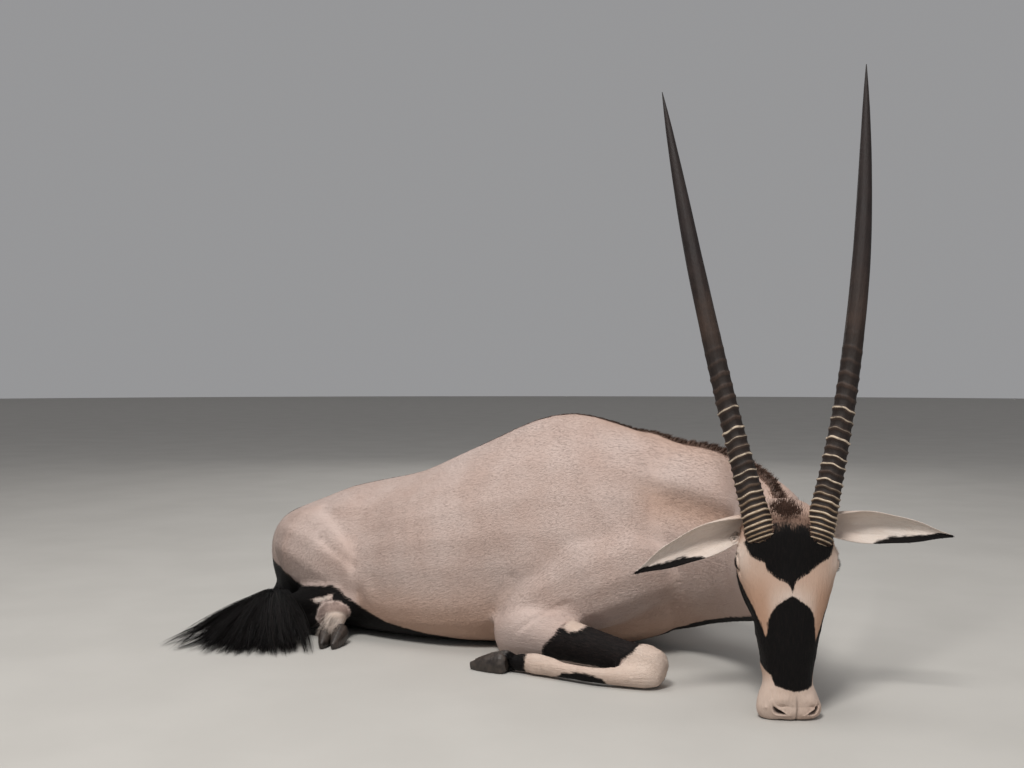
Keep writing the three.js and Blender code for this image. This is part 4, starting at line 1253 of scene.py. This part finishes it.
def ring_profile(distance, angle, seed):
    """Height from 0 to 1 of the rings at each place, steeper below than above."""
    steps = FIRST_RING_STEP * RING_STEP_GROWTH ** np.arange(RING_COUNT)
    steps = np.r_[np.full(LOW_RINGS, FIRST_RING_STEP * 0.85), steps]
    edges = 6 + np.cumsum(np.r_[0, steps]) - steps[:LOW_RINGS].sum()
    tilt = 4.5 * np.cos(angle)
    wave = 1.0 * np.sin(3 * angle + seed) + 0.8 * np.sin(distance / 17 + 5 * angle)
    d = distance + tilt + wave * ramp(distance, 0, 60)
    i = np.clip(np.searchsorted(edges, d) - 1, 0, len(steps) - 1)
    t = np.clip((d - edges[i]) / (edges[i + 1] - edges[i]), 0, 1)
    inside = (d > edges[0]) & (d < edges[-1])
    fade = np.minimum(1, (len(steps) - i) / 8)
    uneven = 0.85 + 0.2 * np.sin(i * 2.4 + seed)
    crest = bell(t - 0.62, np.where(t < 0.62, 0.24, 0.13))
    return np.where(inside, crest * np.sin(math.pi * t) ** 0.5 * fade * uneven, 0)


def horn_axes(base, spread, rake, side, **_):
    """The horn's base, its axis, and the directions across it: outwards and through."""
    out, back = along_head((0, -side, 0)), along_head((0, 0, -1))
    level = unit((back[0], back[1], 0))
    axis = UP + out * math.tan(math.radians(spread))
    axis = unit(axis + level * math.tan(math.radians(rake)))
    across = unit(out - axis * (out @ axis))
    return on_head(base), axis, across, np.cross(across, axis)


def horn_dive(distance):
    """How far the horn's root lies below its axis, towards the skull."""
    return HORN_DIVE * (np.maximum(8 - distance, 0) / (8 + HORN_SINK)) ** 1.8


def build_horn(name, side, material):
    """A long, bowed horn with fine fibres along it, ringed in its lower half."""
    shape = HORNS[name]
    length = shape["length"]
    start, axis, across, through = horn_axes(**shape, side=side)
    distance = np.r_[np.arange(-HORN_SINK, RINGS_END, 1.5), np.arange(RINGS_END, length - 30, 5),
                     np.linspace(length - 30, length, 10)]
    angle = np.linspace(0, 2 * math.pi, HORN_SIDES, endpoint=False)
    distance, angle = np.meshgrid(distance, angle, indexing="ij")
    share = np.clip(distance / length, 0, 1)
    ring = ring_profile(distance, angle, 3 if side > 0 else 4.5)
    girth = HORN_BASE_RADIUS * np.interp(share, *zip(*HORN_TAPER))
    flutes = 0.35 * np.sin(angle * 9 + 0.02 * distance) * ramp(-share, -0.95, -0.5)
    radius = girth + RING_HEIGHT * ring * (0.88 + 0.12 * np.cos(angle - 1)) + flutes
    bend = shape["bow"] * np.sin(math.pi * share**0.9)
    points = np.stack([radius * np.cos(angle) + bend, HORN_OVAL * radius * np.sin(angle), distance], -1)
    points = points @ (across, through, axis) - horn_dive(distance)[..., None] * HEAD[2]
    verts, faces = tube(start + points * MM)
    horn = new_object(f"horn_{name}_ringed", verts, faces)
    grain = np.stack([angle * girth, 0.12 * distance, 0 * angle], -1).reshape(-1, 3) * MM
    set_values(horn.data, "grain", np.vstack([grain, np.zeros((2, 3))]))
    set_values(horn.data, "ring", np.r_[ring.ravel(), 0, 0])
    set_values(horn.data, "share", np.r_[share.ravel(), 0, 1])
    set_values(horn.data, "at", verts)
    outward(horn.data)
    dress(horn, material, "horn", f"horn_{name}")


def dress(obj, material, slot, *nodes):
    """Gives a piece its material and the root body, and hides the nodes that it stands for; slot is not used.
    """
    obj.data.materials.clear()
    obj.data.materials.append(material)
    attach(obj, "root")
    if nodes:
        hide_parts(*nodes)


# Eyes and hooves

def build_eye(name, side, material):
    """The eyeball, of which the lids leave a slit open."""
    at = (EYE_AT[0], -side * EYE_AT[1], EYE_AT[2])
    verts, faces = ball(on_head(at), EYE_RADIUS * MM, 64, 40)
    eye = new_object(f"eye_{name}_ball", verts, faces)
    outside, along, up = eye_axes()
    f = folded(in_head(verts)) - EYE_AT
    pupil = np.sqrt((f @ along / 4.6) ** 2 + (f @ up / 3.0) ** 2)
    set_values(eye.data, "pupil", np.where(f @ outside > 0, pupil, 9))
    set_values(eye.data, "at", verts)
    outward(eye.data)
    dress(eye, material, "eye", f"eye_{name}")


HOOF_NODES = [f"hoof_{pair}_{side}_{place}" for pair in ("fore", "hind") for side in SIDES
              for place in ("outer", "inner")]
HOOF_VOXEL = 1.6 * MM


def build_hoof(name, material):
    """A rounded claw with fine ridges, its upper rim drawn in towards the leg."""
    _, pair, side, _ = name.split("_")
    hoof = new_object(name + "_horn", *node_mesh(name))
    mesh = with_modifier(hoof, "REMESH", mode="VOXEL", voxel_size=HOOF_VOXEL)
    points = relax(vertex_array(mesh), edges_of(mesh), 45, grow=0.47)
    centre = points.mean(0)
    axis = np.linalg.svd(points - centre, full_matrices=False)[2][0]
    leg = node_mesh(f"{pair}leg_{side}_lower")[0].mean(0)
    axis = axis * np.sign((leg - centre) @ axis)
    share = (points - centre) @ axis
    radial = points - centre - share[:, None] * axis
    share = (share - share.min()) / np.ptp(share)
    points = points - radial * (0.3 * ramp(share, 0.84, 1.0) ** 2)[:, None]
    set_vertices(mesh, points)
    ridges = 0.16 * np.sin(share * 60 + 1.5 * np.sin(share * 9)) * MM
    points = points + ridges[:, None] * normals_of(mesh)
    points[:, 2] = np.maximum(points[:, 2], 0.3 * MM)
    set_vertices(mesh, points)
    set_values(mesh, "at", points)
    set_values(mesh, "share", share)
    dress(hoof, material, "hoof", name)


# Hair. Every tuft and lock is a closed blade of triangles.

def triangle_object(name, verts, triangles):
    mesh = bpy.data.meshes.new(name)
    count = len(triangles)
    mesh.vertices.add(len(verts))
    mesh.vertices.foreach_set("co", np.asarray(verts, np.float32).ravel())
    mesh.loops.add(count * 3)
    mesh.loops.foreach_set("vertex_index", np.asarray(triangles, np.int32).ravel())
    mesh.polygons.add(count)
    mesh.polygons.foreach_set("loop_start", np.arange(0, count * 3, 3, dtype=np.int32))
    mesh.update(calc_edges=True)
    return linked(name, mesh)


class SkinMap:
    """The skin's triangles, for roots of hair and the values that the hair takes over from them."""

    VALUES = ("at", "grain", "lie", "dark", "pale", "brown", "tan", "bare", "tint")

    def __init__(self, skin):
        mesh = skin.data
        mesh.calc_loop_triangles()
        self.corners = values_of(mesh.loop_triangles, "vertices", 3, np.int32)
        loops = values_of(mesh.loop_triangles, "loops", 3, np.int32)
        self.uv = values_of(mesh.uv_layers["OFBake"].data, "uv", 2)[loops]
        self.points, self.normals = vertex_array(mesh), normals_of(mesh)
        self.values = {}
        for name in self.VALUES:
            attribute = mesh.attributes[name]
            field, wide = ("vector", 3) if attribute.data_type == "FLOAT_VECTOR" else ("value", 1)
            self.values[name] = values_of(attribute.data, field, wide)
        a, b, c = (self.points[self.corners[:, k]] for k in range(3))
        self.area = 0.5 * np.linalg.norm(np.cross(b - a, c - a), axis=1)

    def at_roots(self, triangle, weights):
        """The place, normal, map place and values at places inside the given triangles."""
        corners = self.corners[triangle]
        mean = lambda values: (values[corners] * weights[..., None]).sum(1)
        root = {name: mean(values) for name, values in self.values.items()}
        root["point"], root["normal"] = mean(self.points), unit(mean(self.normals))
        root["uv"] = (self.uv[triangle] * weights[..., None]).sum(1)
        return root

    def scatter(self, density, count):
        """Roots spread evenly by the density at each vertex."""
        weight = self.area * density[self.corners].mean(1)
        ends = np.cumsum(weight)
        steps = (np.arange(count) + RANDOM.random(count)) / count * ends[-1]
        triangle = np.minimum(np.searchsorted(ends, steps), len(ends) - 1)
        r, q = np.sqrt(RANDOM.random(count)), RANDOM.random(count)
        return self.at_roots(triangle, np.stack([1 - r, r * (1 - q), r * q], 1))

    def nearest(self, points):
        """Roots at the skin's nearest triangle's middle to each point."""
        middles = self.points[self.corners].mean(1)
        tree = KDTree(len(middles))
        for i, m in enumerate(middles.tolist()):
            tree.insert(m, i)
        tree.balance()
        triangle = np.array([tree.find(p)[1] for p in points.tolist()])
        return self.at_roots(triangle, np.full((len(triangle), 3), 1 / 3))


PIECE_BLADES, PIECE_TRIANGLES = 49000, 196000  # at most, in one piece
PATCH = 0.003  # size of a tuft's place on the map


def fixed(root, **values):
    """Gives all roots the same values."""
    for name, value in values.items():
        root[name] = np.full_like(root[name], value)


def blade_triangles(rings):
    """The triangles of one three-sided blade: its sides, its tip and its root."""
    triangles = []
    for i in range(rings - 1):
        for j in range(3):
            a, b = 3 * i + j, 3 * i + (j + 1) % 3
            triangles += [(a, b, b + 3), (a, b + 3, a + 3)]
    tip = 3 * rings
    triangles += [(tip - 3 + j, tip - 3 + (j + 1) % 3, tip) for j in range(3)]
    return np.array(triangles + [(0, 2, 1)])


def hair_piece(name, blades, root, material, tint, slot="coat", nodes=(), lay=0.0):
    """Joins blades, an array of blade x point x 3, to one or more pieces.

    Their shading leans by the share lay to that of the skin, as close, flat hair does.
    """
    count, size = blades.shape[:2]
    pattern = blade_triangles(size // 3)
    root["tint"] = tint
    spot = np.array([(0, 0), (1, 0), (0.5, 1)]) * PATCH
    per_piece = min(PIECE_BLADES, PIECE_TRIANGLES // len(pattern))
    for k, start in enumerate(range(0, count, per_piece)):
        chosen = slice(start, min(start + per_piece, count))
        number = chosen.stop - start
        faces = (pattern[None] + np.arange(number)[:, None, None] * size).reshape(-1, 3)
        obj = triangle_object(f"{name}_{k + 1}", blades[chosen].reshape(-1, 3), faces)
        for key in ("at", "grain", *MARKS, "tint"):
            set_values(obj.data, key, np.repeat(root[key][chosen], size, axis=0))
        uv = root["uv"][chosen][:, None, None] + spot + np.zeros((number, len(pattern), 3, 2))
        obj.data.uv_layers.new(name="OFBake").data.foreach_set("uv", uv.astype(np.float32).ravel())
        if lay:
            skin_normal = np.repeat(root["normal"][chosen], size, axis=0)
            leaning = unit(normals_of(obj.data) * (1 - lay) + skin_normal * lay)
            obj.data.normals_split_custom_set_from_vertices(leaning.tolist())
        dress(obj, material, slot, *(nodes if k == 0 else ()))


def blade_rings(path, across, out, width, thick, fullness):
    """Three-sided rings along each path, of blade x step x 3; the last step is the tip.

    Width and thickness are in mm, one for each blade or one for all.
    """
    facing = (np.cross(across, out) * (path[:, -1:] - path[:, :1])).sum(-1, keepdims=True)
    across = across * np.sign(facing)
    full = np.array(fullness)[:-1]
    w, t = (0.5 * (np.reshape(size, (-1, 1)) * full)[..., None] * MM for size in (width, thick))
    body = path[:, :-1]
    rings = np.stack([body + across * w - out * t, body + out * t, body - across * w - out * t], axis=2)
    return np.concatenate([rings.reshape(len(path), -1, 3), path[:, -1:]], axis=1)


def coat_size(points):
    """Length of the coat in mm at each point."""
    h, p = in_head(points), points / MM
    head = ramp(h[:, 0], -110, -60) * (np.abs(h[:, 1]) < 130) * (h[:, 2] > -190) * (h[:, 0] < 340)
    length = 9.5 + 3.0 * ramp(p[:, 2], 380, 520) + 2 * near(p, (330, -120, 200), 180)
    length = length + 5 * ramp(p[:, 0], 180, 330) * ramp(p[:, 2], 395, 450)
    length = length * (1 - 0.25 * ramp(-p[:, 2], -150, -20))
    face = 5.6 - 2.6 * ramp(h[:, 0], 0, 250) - 1.5 * near(folded(h), EYE_AT, 40)
    return length * (1 - head) + face * head


COAT_TUFTS = 205000
LEG_HAIR, EAR_HAIR = 6.0, 5.0


def build_coat(part, surface, material):
    """Short, flat tufts all over the skin, closer together where they are shorter."""
    points, normals = surface.points, surface.normals
    length = coat_size(points)
    legs = part_of(part, *(name for name in LEGS if name.endswith("lower")))
    ears = part_of(part, "ear_right", "ear_left")
    by_ear = near(folded(in_head(points)), EAR_ROOT_EDGE, 34)
    length = np.where(legs, LEG_HAIR, np.where(ears, EAR_HAIR, length * (1 - 0.75 * by_ear)))
    bare = surface.values["bare"][:, 0]
    hidden = (points[:, 2] < 12 * MM) & (normals[:, 2] < -0.3)
    density = (11 / length) ** 1.25 * (1 - np.clip(bare * 1.4, 0, 1)) * ~hidden
    density = density * np.where(normals[:, 2] < -0.6, 0.5, 1)
    surface.values["hair"] = length[:, None]
    root = surface.scatter(density, COAT_TUFTS)
    count = len(root["point"])
    normal = root["normal"]
    lie = unit(root["lie"] - normal * (root["lie"] * normal).sum(1)[:, None])
    side = np.cross(normal, lie)
    sway = RANDOM.normal(0, 0.2, count)[:, None]
    lie = unit(lie + side * sway)
    side = np.cross(normal, lie)
    size = root["hair"][:, 0] * (0.75 + 0.5 * RANDOM.random(count))
    lift = np.tan(np.radians(3.5 + 5 * RANDOM.random(count)))
    width, thick = 0.1 * size + 0.3, 0.016 * size + 0.13
    start = root["point"] - normal * 0.45 * MM
    tip = start + (lie + normal * lift[:, None]) * (size * MM)[:, None] + normal * 0.35 * MM
    path = np.stack([start, tip], 1)
    blades = blade_rings(path, side[:, None], normal[:, None], width, 2 * thick, (1, 1))
    # The tint carries the skin's painted sheen on the forelegs' black into the tufts.
    tint = root["tint"][:, 0] * (0.93 + 0.14 * RANDOM.random(count))
    hair_piece("coat_tufts", blades, root, material, tint, lay=0.5)


CREST_FROM = -160  # where the dark line along the back starts to stand up, in the row's x


def crest_line(surface):
    """The ridge of the back and neck on the skin, from behind the withers to the poll."""
    neck = smoothed(NECK_ROWS, 12)[:, :2]
    x = np.arange(CREST_FROM, 300, 8)
    trunk = np.stack([x, 0 * x], 1)
    plan = np.vstack([trunk, neck[neck[:, 0] > 304]])
    tree = BVHTree.FromPolygons(surface.points.tolist(), surface.corners.tolist())
    top = []
    for x, y in plan * MM:
        hit = tree.ray_cast((x, y, 1.0), (0, 0, -1))[0]
        if hit is not None:
            top.append(hit)
    line = np.array(top)
    for _ in range(4):
        line[1:-1] = 0.25 * line[:-2] + 0.5 * line[1:-1] + 0.25 * line[2:]
    return line


def along_line(line, share):
    """Points and directions at shares of a line's length."""
    place = np.r_[0, np.cumsum(np.linalg.norm(np.diff(line, axis=0), axis=1))]
    at = share * place[-1]
    point = np.stack([np.interp(at, place, line[:, k]) for k in range(3)], 1)
    way = unit(np.gradient(line, axis=0))
    return point, unit(np.stack([np.interp(at, place, way[:, k]) for k in range(3)], 1))


MANE_HAIRS, MANE_LENGTH = 6500, 18


def build_mane(surface, material):
    """Short, stiff hair that stands along the neck's crest and leans towards the head."""
    line = crest_line(surface)
    share = RANDOM.random(MANE_HAIRS) ** 0.8
    point, forward = along_line(line, share)
    level = unit(np.cross(UP, forward))
    up = np.cross(forward, level)
    spread = RANDOM.normal(0, 1, MANE_HAIRS)
    grown = ramp(share, 0.3, 0.62)
    reach = 2.5 + 3 * grown
    base = point + (level * (spread * reach)[:, None] - up * (0.8 + 0.35 * spread**2)[:, None]) * MM
    clump = np.sin(share * 190) + 0.7 * np.sin(share * 433 + 1) + 0.5 * np.sin(share * 911 + 2)
    lean = spread * 0.16 + 0.16 * clump + RANDOM.normal(0, 0.1, MANE_HAIRS)
    size = (9 + (MANE_LENGTH - 9) * grown) * (0.62 + 0.45 * RANDOM.random(MANE_HAIRS))
    size *= np.clip(1 - 0.16 * spread**2, 0.3, 1) * (1 + 0.1 * clump)
    rise = (0.45 + 0.45 * grown)[:, None, None]
    t = np.linspace(0, 1, 4)[None, :, None]
    bend = up[:, None] * rise * t + level[:, None] * lean[:, None, None] * t
    bend = bend + forward[:, None] * ((0.25 + 0.1 * clump)[:, None, None] * t + 0.35 * t**2)
    path = base[:, None] + (size * MM)[:, None, None] * bend
    blades = blade_rings(path, level[:, None], forward[:, None], 1.5, 0.7, (1, 1, 0.7, 0))
    root = surface.nearest(base)
    root["brown"] = np.clip(1.1 - 0.6 * np.abs(spread) + RANDOM.normal(0, 0.3, MANE_HAIRS), 0, 1)[:, None]
    fixed(root, dark=-20, pale=-30)
    tint = 0.5 + 0.45 * RANDOM.random(MANE_HAIRS)
    hair_piece("mane_hair", blades, root, material, tint)


def scattered(centre, reach, count):
    """Places spread round a centre in the row's frame; reach in mm."""
    return np.asarray(centre, float) + RANDOM.normal(0, 1, (count, 3)) * np.asarray(reach) * MM


def patch_hair(name, surface, seeds, length, way, material, width=0.8, stand=0.2, reach=12, spread=0.9,
               lay=0.0, **look):
    """Longer hair from the skin nearest to each seed, mostly along the given direction."""
    root = surface.nearest(seeds)
    close = np.linalg.norm(root["point"] - seeds, axis=1) < reach * MM
    root = {key: value[close] for key, value in root.items()}
    count = int(close.sum())
    start = root["point"] - root["normal"] * 0.5 * MM
    start += RANDOM.normal(0, spread, (count, 3)) * MM
    along = unit(way) - root["normal"] * (root["normal"] @ unit(way))[:, None].clip(None, 0)
    heading = unit(1.5 * along + stand * root["normal"] + RANDOM.normal(0, 0.14, (count, 3)))
    size = length * (0.6 + 0.5 * RANDOM.random(count))
    t = np.linspace(0, 1, 5)[None, :, None]
    curl = RANDOM.normal(0, 0.12, (count, 1, 3))
    path = start[:, None] + (size * MM)[:, None, None] * (heading[:, None] * t + curl * t**2)
    path[..., 2] = np.maximum(path[..., 2], 1.0 * MM)
    across = unit(np.cross(heading, root["normal"]))[:, None]
    blades = blade_rings(path, across, root["normal"][:, None], width, 0.5 * width, (1, 1, 0.85, 0.55, 0))
    fixed(root, **look)
    tint = 0.75 + 0.3 * RANDOM.random(count)
    hair_piece(name, blades, root, material, tint, lay=lay)


POLL_HAIRS, HORN_RIM_SEEDS, BROW_HAIRS, FETLOCK_HAIRS, PASTERN_HAIRS = 1300, 9000, 360, 3000, 900
EAR_ROOT, EAR_ROOT_CLEAR = (-62, 75, -64), 30  # kept free of the horn's rim of hair
PASTERN_RINGS = (-352, -322)  # the y at which the claws of the right fore leg start
WHITE_HAIR = dict(dark=-30, pale=30, brown=0)


def horn_rim(name, side, surface, material):
    """Short brown hair where the horn leaves the skin, but none at the ear."""
    start, axis, across, through = horn_axes(**HORNS[name], side=side)
    turn = 2 * math.pi * RANDOM.random((HORN_RIM_SEEDS, 1))
    down = 38 * RANDOM.random((HORN_RIM_SEEDS, 1)) - 8
    rim = np.cos(turn) * across + HORN_OVAL * np.sin(turn) * through
    seeds = start + (rim * (HORN_BASE_RADIUS + 0.5) - down * axis - horn_dive(-down) * HEAD[2]) * MM
    seeds = seeds[np.linalg.norm(folded(in_head(seeds)) - EAR_ROOT, axis=1) > EAR_ROOT_CLEAR]
    patch_hair(f"horn_rim_{name}", surface, seeds, 7, axis, material, width=0.55, stand=0.5, reach=2.2,
               dark=-4, pale=-30, brown=0.65)


def brow_hair(name, side, surface, material):
    """Pale hair on the brow, towards the ear."""
    seeds = scattered(on_head((2, -side * 98, -34)), (11, 3, 7), BROW_HAIRS)
    patch_hair(f"brow_hair_{name}", surface, seeds, 6, along_head((-1.4, -0.5 * side, 0.1)), material,
               width=0.4, stand=0.1, lay=0.6, bare=0, tan=0.25, **WHITE_HAIR)


def fetlock_hair(name, side, surface, material):
    """The white fringe over the hind claws."""
    foot = np.array((-408, -270, 34) if side > 0 else (-396, 276, 34)) * MM
    patch_hair(f"fetlock_hair_{name}", surface, scattered(foot, (19, 6, 11), FETLOCK_HAIRS), 46,
               (0.04, -0.9 * side, -0.62), material, width=0.75, stand=0.1, reach=20, spread=3.0,
               lay=0.4, tan=0.12, **WHITE_HAIR)


def pastern_hair(name, side, surface, material):
    """Black hair over the upper rims of a fore leg's claws."""
    for place in PASTERN_RINGS:
        turn = 2 * math.pi * RANDOM.random(PASTERN_HAIRS)
        ahead = 70 + 5 * RANDOM.random(PASTERN_HAIRS) + LEFT_AHEAD["foreleg"] * (side < 0)
        ring = np.stack([ahead, side * (place + 20 * np.cos(turn)), 22 + 20 * np.sin(turn)], 1)
        patch_hair(f"pastern_hair_{name}_{-place}", surface, ring * MM, 18, (-1, 0, -0.12), material,
                   width=0.6, stand=0.7, dark=20)


def build_patches(surface, material):
    """The tuft on the poll, and the longer hair at horns, brows and feet."""
    patch_hair("poll_hair", surface, scattered(on_head((-79, -7, -20)), (14, 14, 8), POLL_HAIRS), 13,
               (0.1, -0.2, 1), material, brown=0.9, dark=-12, pale=-30)
    for name, side in SIDES.items():
        for patch in (horn_rim, brow_hair, fetlock_hair, pastern_hair):
            patch(name, side, surface, material)


LASHES = 46


def build_lashes(surface, material):
    """Lashes along the upper lids."""
    ahead, along, up = eye_axes()
    paths, sides = [], []
    for side in (-1, 1):
        u = np.linspace(-0.9, 0.85, LASHES) * EYE_LONG + RANDOM.normal(0, 0.3, LASHES)
        v = EYE_UP * (1 - (u / EYE_LONG) ** 2) + 0.6
        depth = np.sqrt((EYE_RADIUS + 1.2) ** 2 - u**2 - v**2)
        start = EYE_AT + u[:, None] * along + v[:, None] * up + depth[:, None] * ahead
        heading = unit(ahead + 0.15 * up + (u / EYE_LONG * 0.5)[:, None] * along)
        size = 5.0 * (0.7 + 0.4 * RANDOM.random(LASHES))[:, None, None]
        t = np.linspace(0, 1, 5)[None, :, None]
        path = start[:, None] + size * (heading[:, None] * t + up * 0.35 * t**2 - up * 0.25 * t)
        flip = np.array((1, side, 1))
        paths.append(on_head(path * flip))
        sides.append(np.tile(along_head(along * flip), (LASHES, 1)))
    path, across = np.vstack(paths), np.vstack(sides)[:, None]
    blades = blade_rings(path, across, UP, 0.55, 0.45, (1, 1, 0.8, 0.5, 0))
    root = surface.nearest(path[:, 0])
    fixed(root, dark=30, bare=0)
    hair_piece("lashes", blades, root, material, np.full(len(path), 0.8), "black_coat")


TUFT_ROOT = (-684, -104, 62)
FAN_FROM, FAN_TO = math.radians(-108), math.radians(-45)
TUFT_REACH = (345, 415)


def fan_paths(count, clumps, steps, loose):
    """Lines of hair from the end of the dock, in clumps fanned out over the floor."""
    share = (np.arange(clumps) + RANDOM.random(clumps)) / clumps
    layer = 2 * RANDOM.random(clumps)
    angle = FAN_FROM + (FAN_TO - FAN_FROM) * share + RANDOM.normal(0, 0.08, clumps)
    reach = TUFT_REACH[0] + (TUFT_REACH[1] - TUFT_REACH[0]) * (0.35 * RANDOM.random(clumps) + 0.65 * share)
    short = 0.4 * ramp(-share, -0.5, -0.1) * (RANDOM.random(clumps) > 0.22)
    reach = (reach - 22 * layer) * (1 - short - 0.24 * RANDOM.random(clumps) ** 1.5)
    start = np.array(TUFT_ROOT) + np.stack([30 * (share - 0.5), -14 * layer, 7 - 7 * layer], 1)
    hump = 50 * share - 12 - 6 * layer
    heading = np.stack([np.cos(angle), np.sin(angle), 0 * angle], 1)
    sideways = np.cross(heading, UP)
    t = np.linspace(0, 1, steps)[None, :]
    fall = start[:, 2:3] * (1 - t ** (1.5 + 0.5 * RANDOM.random(clumps))[:, None]) + 3 * t
    fall = fall + hump[:, None] * np.sin(math.pi * t)
    swing = (46 * (RANDOM.random(clumps) - 0.5))[:, None] * np.sin(2.4 * t)
    turn = 6 * RANDOM.random(clumps)[:, None]
    swing += (18 * (RANDOM.random(clumps) - 0.5))[:, None] * np.sin(7 * t + turn) * t
    core = start[:, None] + (reach[:, None] * t)[..., None] * heading[:, None]
    core += swing[..., None] * sideways[:, None]
    core[..., 2] = fall

    own = RANDOM.integers(0, clumps, count)
    offset = RANDOM.normal(0, 1, (count, 1, 3)) * (8, 8, 4)
    close = (1 - 0.8 * t**0.8)[..., None] + loose * RANDOM.random(count)[:, None, None] * t[..., None]
    trim = (0.55 + 0.5 * RANDOM.random(count) ** 0.6)[:, None]
    place = np.clip(t * trim, 0, 1) * (steps - 1)
    low = np.minimum(place.astype(int), steps - 2)
    part = (place - low)[..., None]
    path = core[own[:, None], low] * (1 - part) + core[own[:, None], low + 1] * part
    path = path + offset * close
    path[..., 2] = np.maximum(path[..., 2], 1.5 + 4 * RANDOM.random(count)[:, None] ** 2)
    return path * MM, heading[own]


def build_tuft(surface, material):
    """The tail's black tuft, as thick locks with looser strands among them."""
    pieces = (("tail_locks", 2400, 90, 9, 2.6, 0.3), ("tail_strands", 5200, 110, 9, 1.5, 1.0))
    for name, count, clumps, steps, width, loose in pieces:
        path, heading = fan_paths(count, clumps, steps, loose)
        across = np.cross(heading, UP)[:, None]
        t = np.linspace(0, 1, steps)
        full = np.sin(math.pi * (0.3 + 0.68 * t)) ** 0.8
        wide = width * (0.6 + 0.8 * RANDOM.random(count))
        blades = blade_rings(path, across, UP, wide, 0.3 * width + 0.3, full)
        blades[..., 2] = np.maximum(blades[..., 2], 0.4 * MM)
        root = surface.nearest(path[:, 0])
        root["at"] = path.mean(1)
        root["grain"] = root["at"]
        fixed(root, dark=30)
        tint = 0.9 + 1.5 * RANDOM.random(count) ** 2
        replaced = ("tail",) if name == "tail_locks" else ()
        hair_piece(name, blades, root, material, tint, "black_coat", replaced)


# The floor, the light and the camera

LIGHTS = {  # place, size, power and colour
    "key": ((0.3, -3.3, 4.6), 1.2, 228, (1.0, 0.98, 0.95)),
    "fill": ((3.6, -2.6, 1.8), 3.0, 12, (0.93, 0.96, 1.0)),
    "top": ((-0.3, 0.0, 4.6), 1.8, 48, (1.0, 0.99, 0.97)),
    "back": ((-1.5, 4.2, 2.6), 3.0, 30, (1.0, 0.98, 0.95)),
}
LIT_AT = (0.1, -0.2, 0.4)


def build_stage():
    """A pale floor and background, and four soft lights."""
    floor = new_object("floor", *tube(np.stack([disc(30, -0.02), disc(30, 0.0)])))
    outward(floor.data)
    n = Nodes("pale_floor")
    place = n.add("ShaderNodeNewGeometry").outputs["Position"]
    color = n.mix(n.step(n.noise(place, 3.0, 5.0), 0.3, 0.7), srgb(176, 173, 168), srgb(181, 178, 173))
    floor.data.materials.append(n.finish(color, 0.85))
    world = bpy.data.worlds.new("pale")
    world.use_nodes = True
    background = world.node_tree.nodes["Background"]
    background.inputs["Color"].default_value = srgb(222, 222, 224)
    background.inputs["Strength"].default_value = 0.42
    bpy.context.scene.world = world
    for name, settings in LIGHTS.items():
        light(name, *settings)


def disc(radius, height, sides=96):
    angle = np.linspace(0, 2 * math.pi, sides, endpoint=False)
    return np.stack([radius * np.cos(angle), radius * np.sin(angle), np.full(sides, height)], 1)


def light(name, place, size, power, color):
    data = bpy.data.lights.new(name, "AREA")
    data.size, data.energy, data.color = size, power, color
    obj = bpy.data.objects.new(name, data)
    obj.location = place
    aim = Vector(LIT_AT) - Vector(place)
    obj.rotation_euler = aim.to_track_quat("-Z", "Y").to_euler()
    bpy.context.scene.collection.objects.link(obj)


CAMERA_AT = (0.943, -2.499, 0.63)
CAMERA_TURN, CAMERA_PITCH = math.radians(22), math.radians(-0.47)


def build_camera():
    """The photograph's own view."""
    data = bpy.data.cameras.new("camera")
    data.sensor_width, data.lens = 36, 38.67
    camera = bpy.data.objects.new("camera", data)
    camera.location = CAMERA_AT
    camera.rotation_euler = (math.pi / 2 + CAMERA_PITCH, 0, CAMERA_TURN)
    bpy.context.scene.collection.objects.link(camera)
    bpy.context.scene.camera = camera
    bpy.context.scene.view_settings.view_transform = "Standard"


# Assembly

def build():
    coat, hair = coat_material("short_coat", 0.0013), coat_material("coat_hair", 0.0003)
    skin, part = build_skin()
    skin.data.materials.append(coat)
    surface = SkinMap(skin)
    build_coat(part, surface, hair)
    build_mane(surface, hair)
    build_tuft(surface, hair)
    build_lashes(surface, hair)
    build_patches(surface, hair)
    horn, hoof, eye = horn_material(), hoof_material(), eye_material()
    for name, side in SIDES.items():
        build_horn(name, side, horn)
        build_eye(name, side, eye)
    for name in HOOF_NODES:
        build_hoof(name, hoof)
    build_stage()
    build_camera()


build()
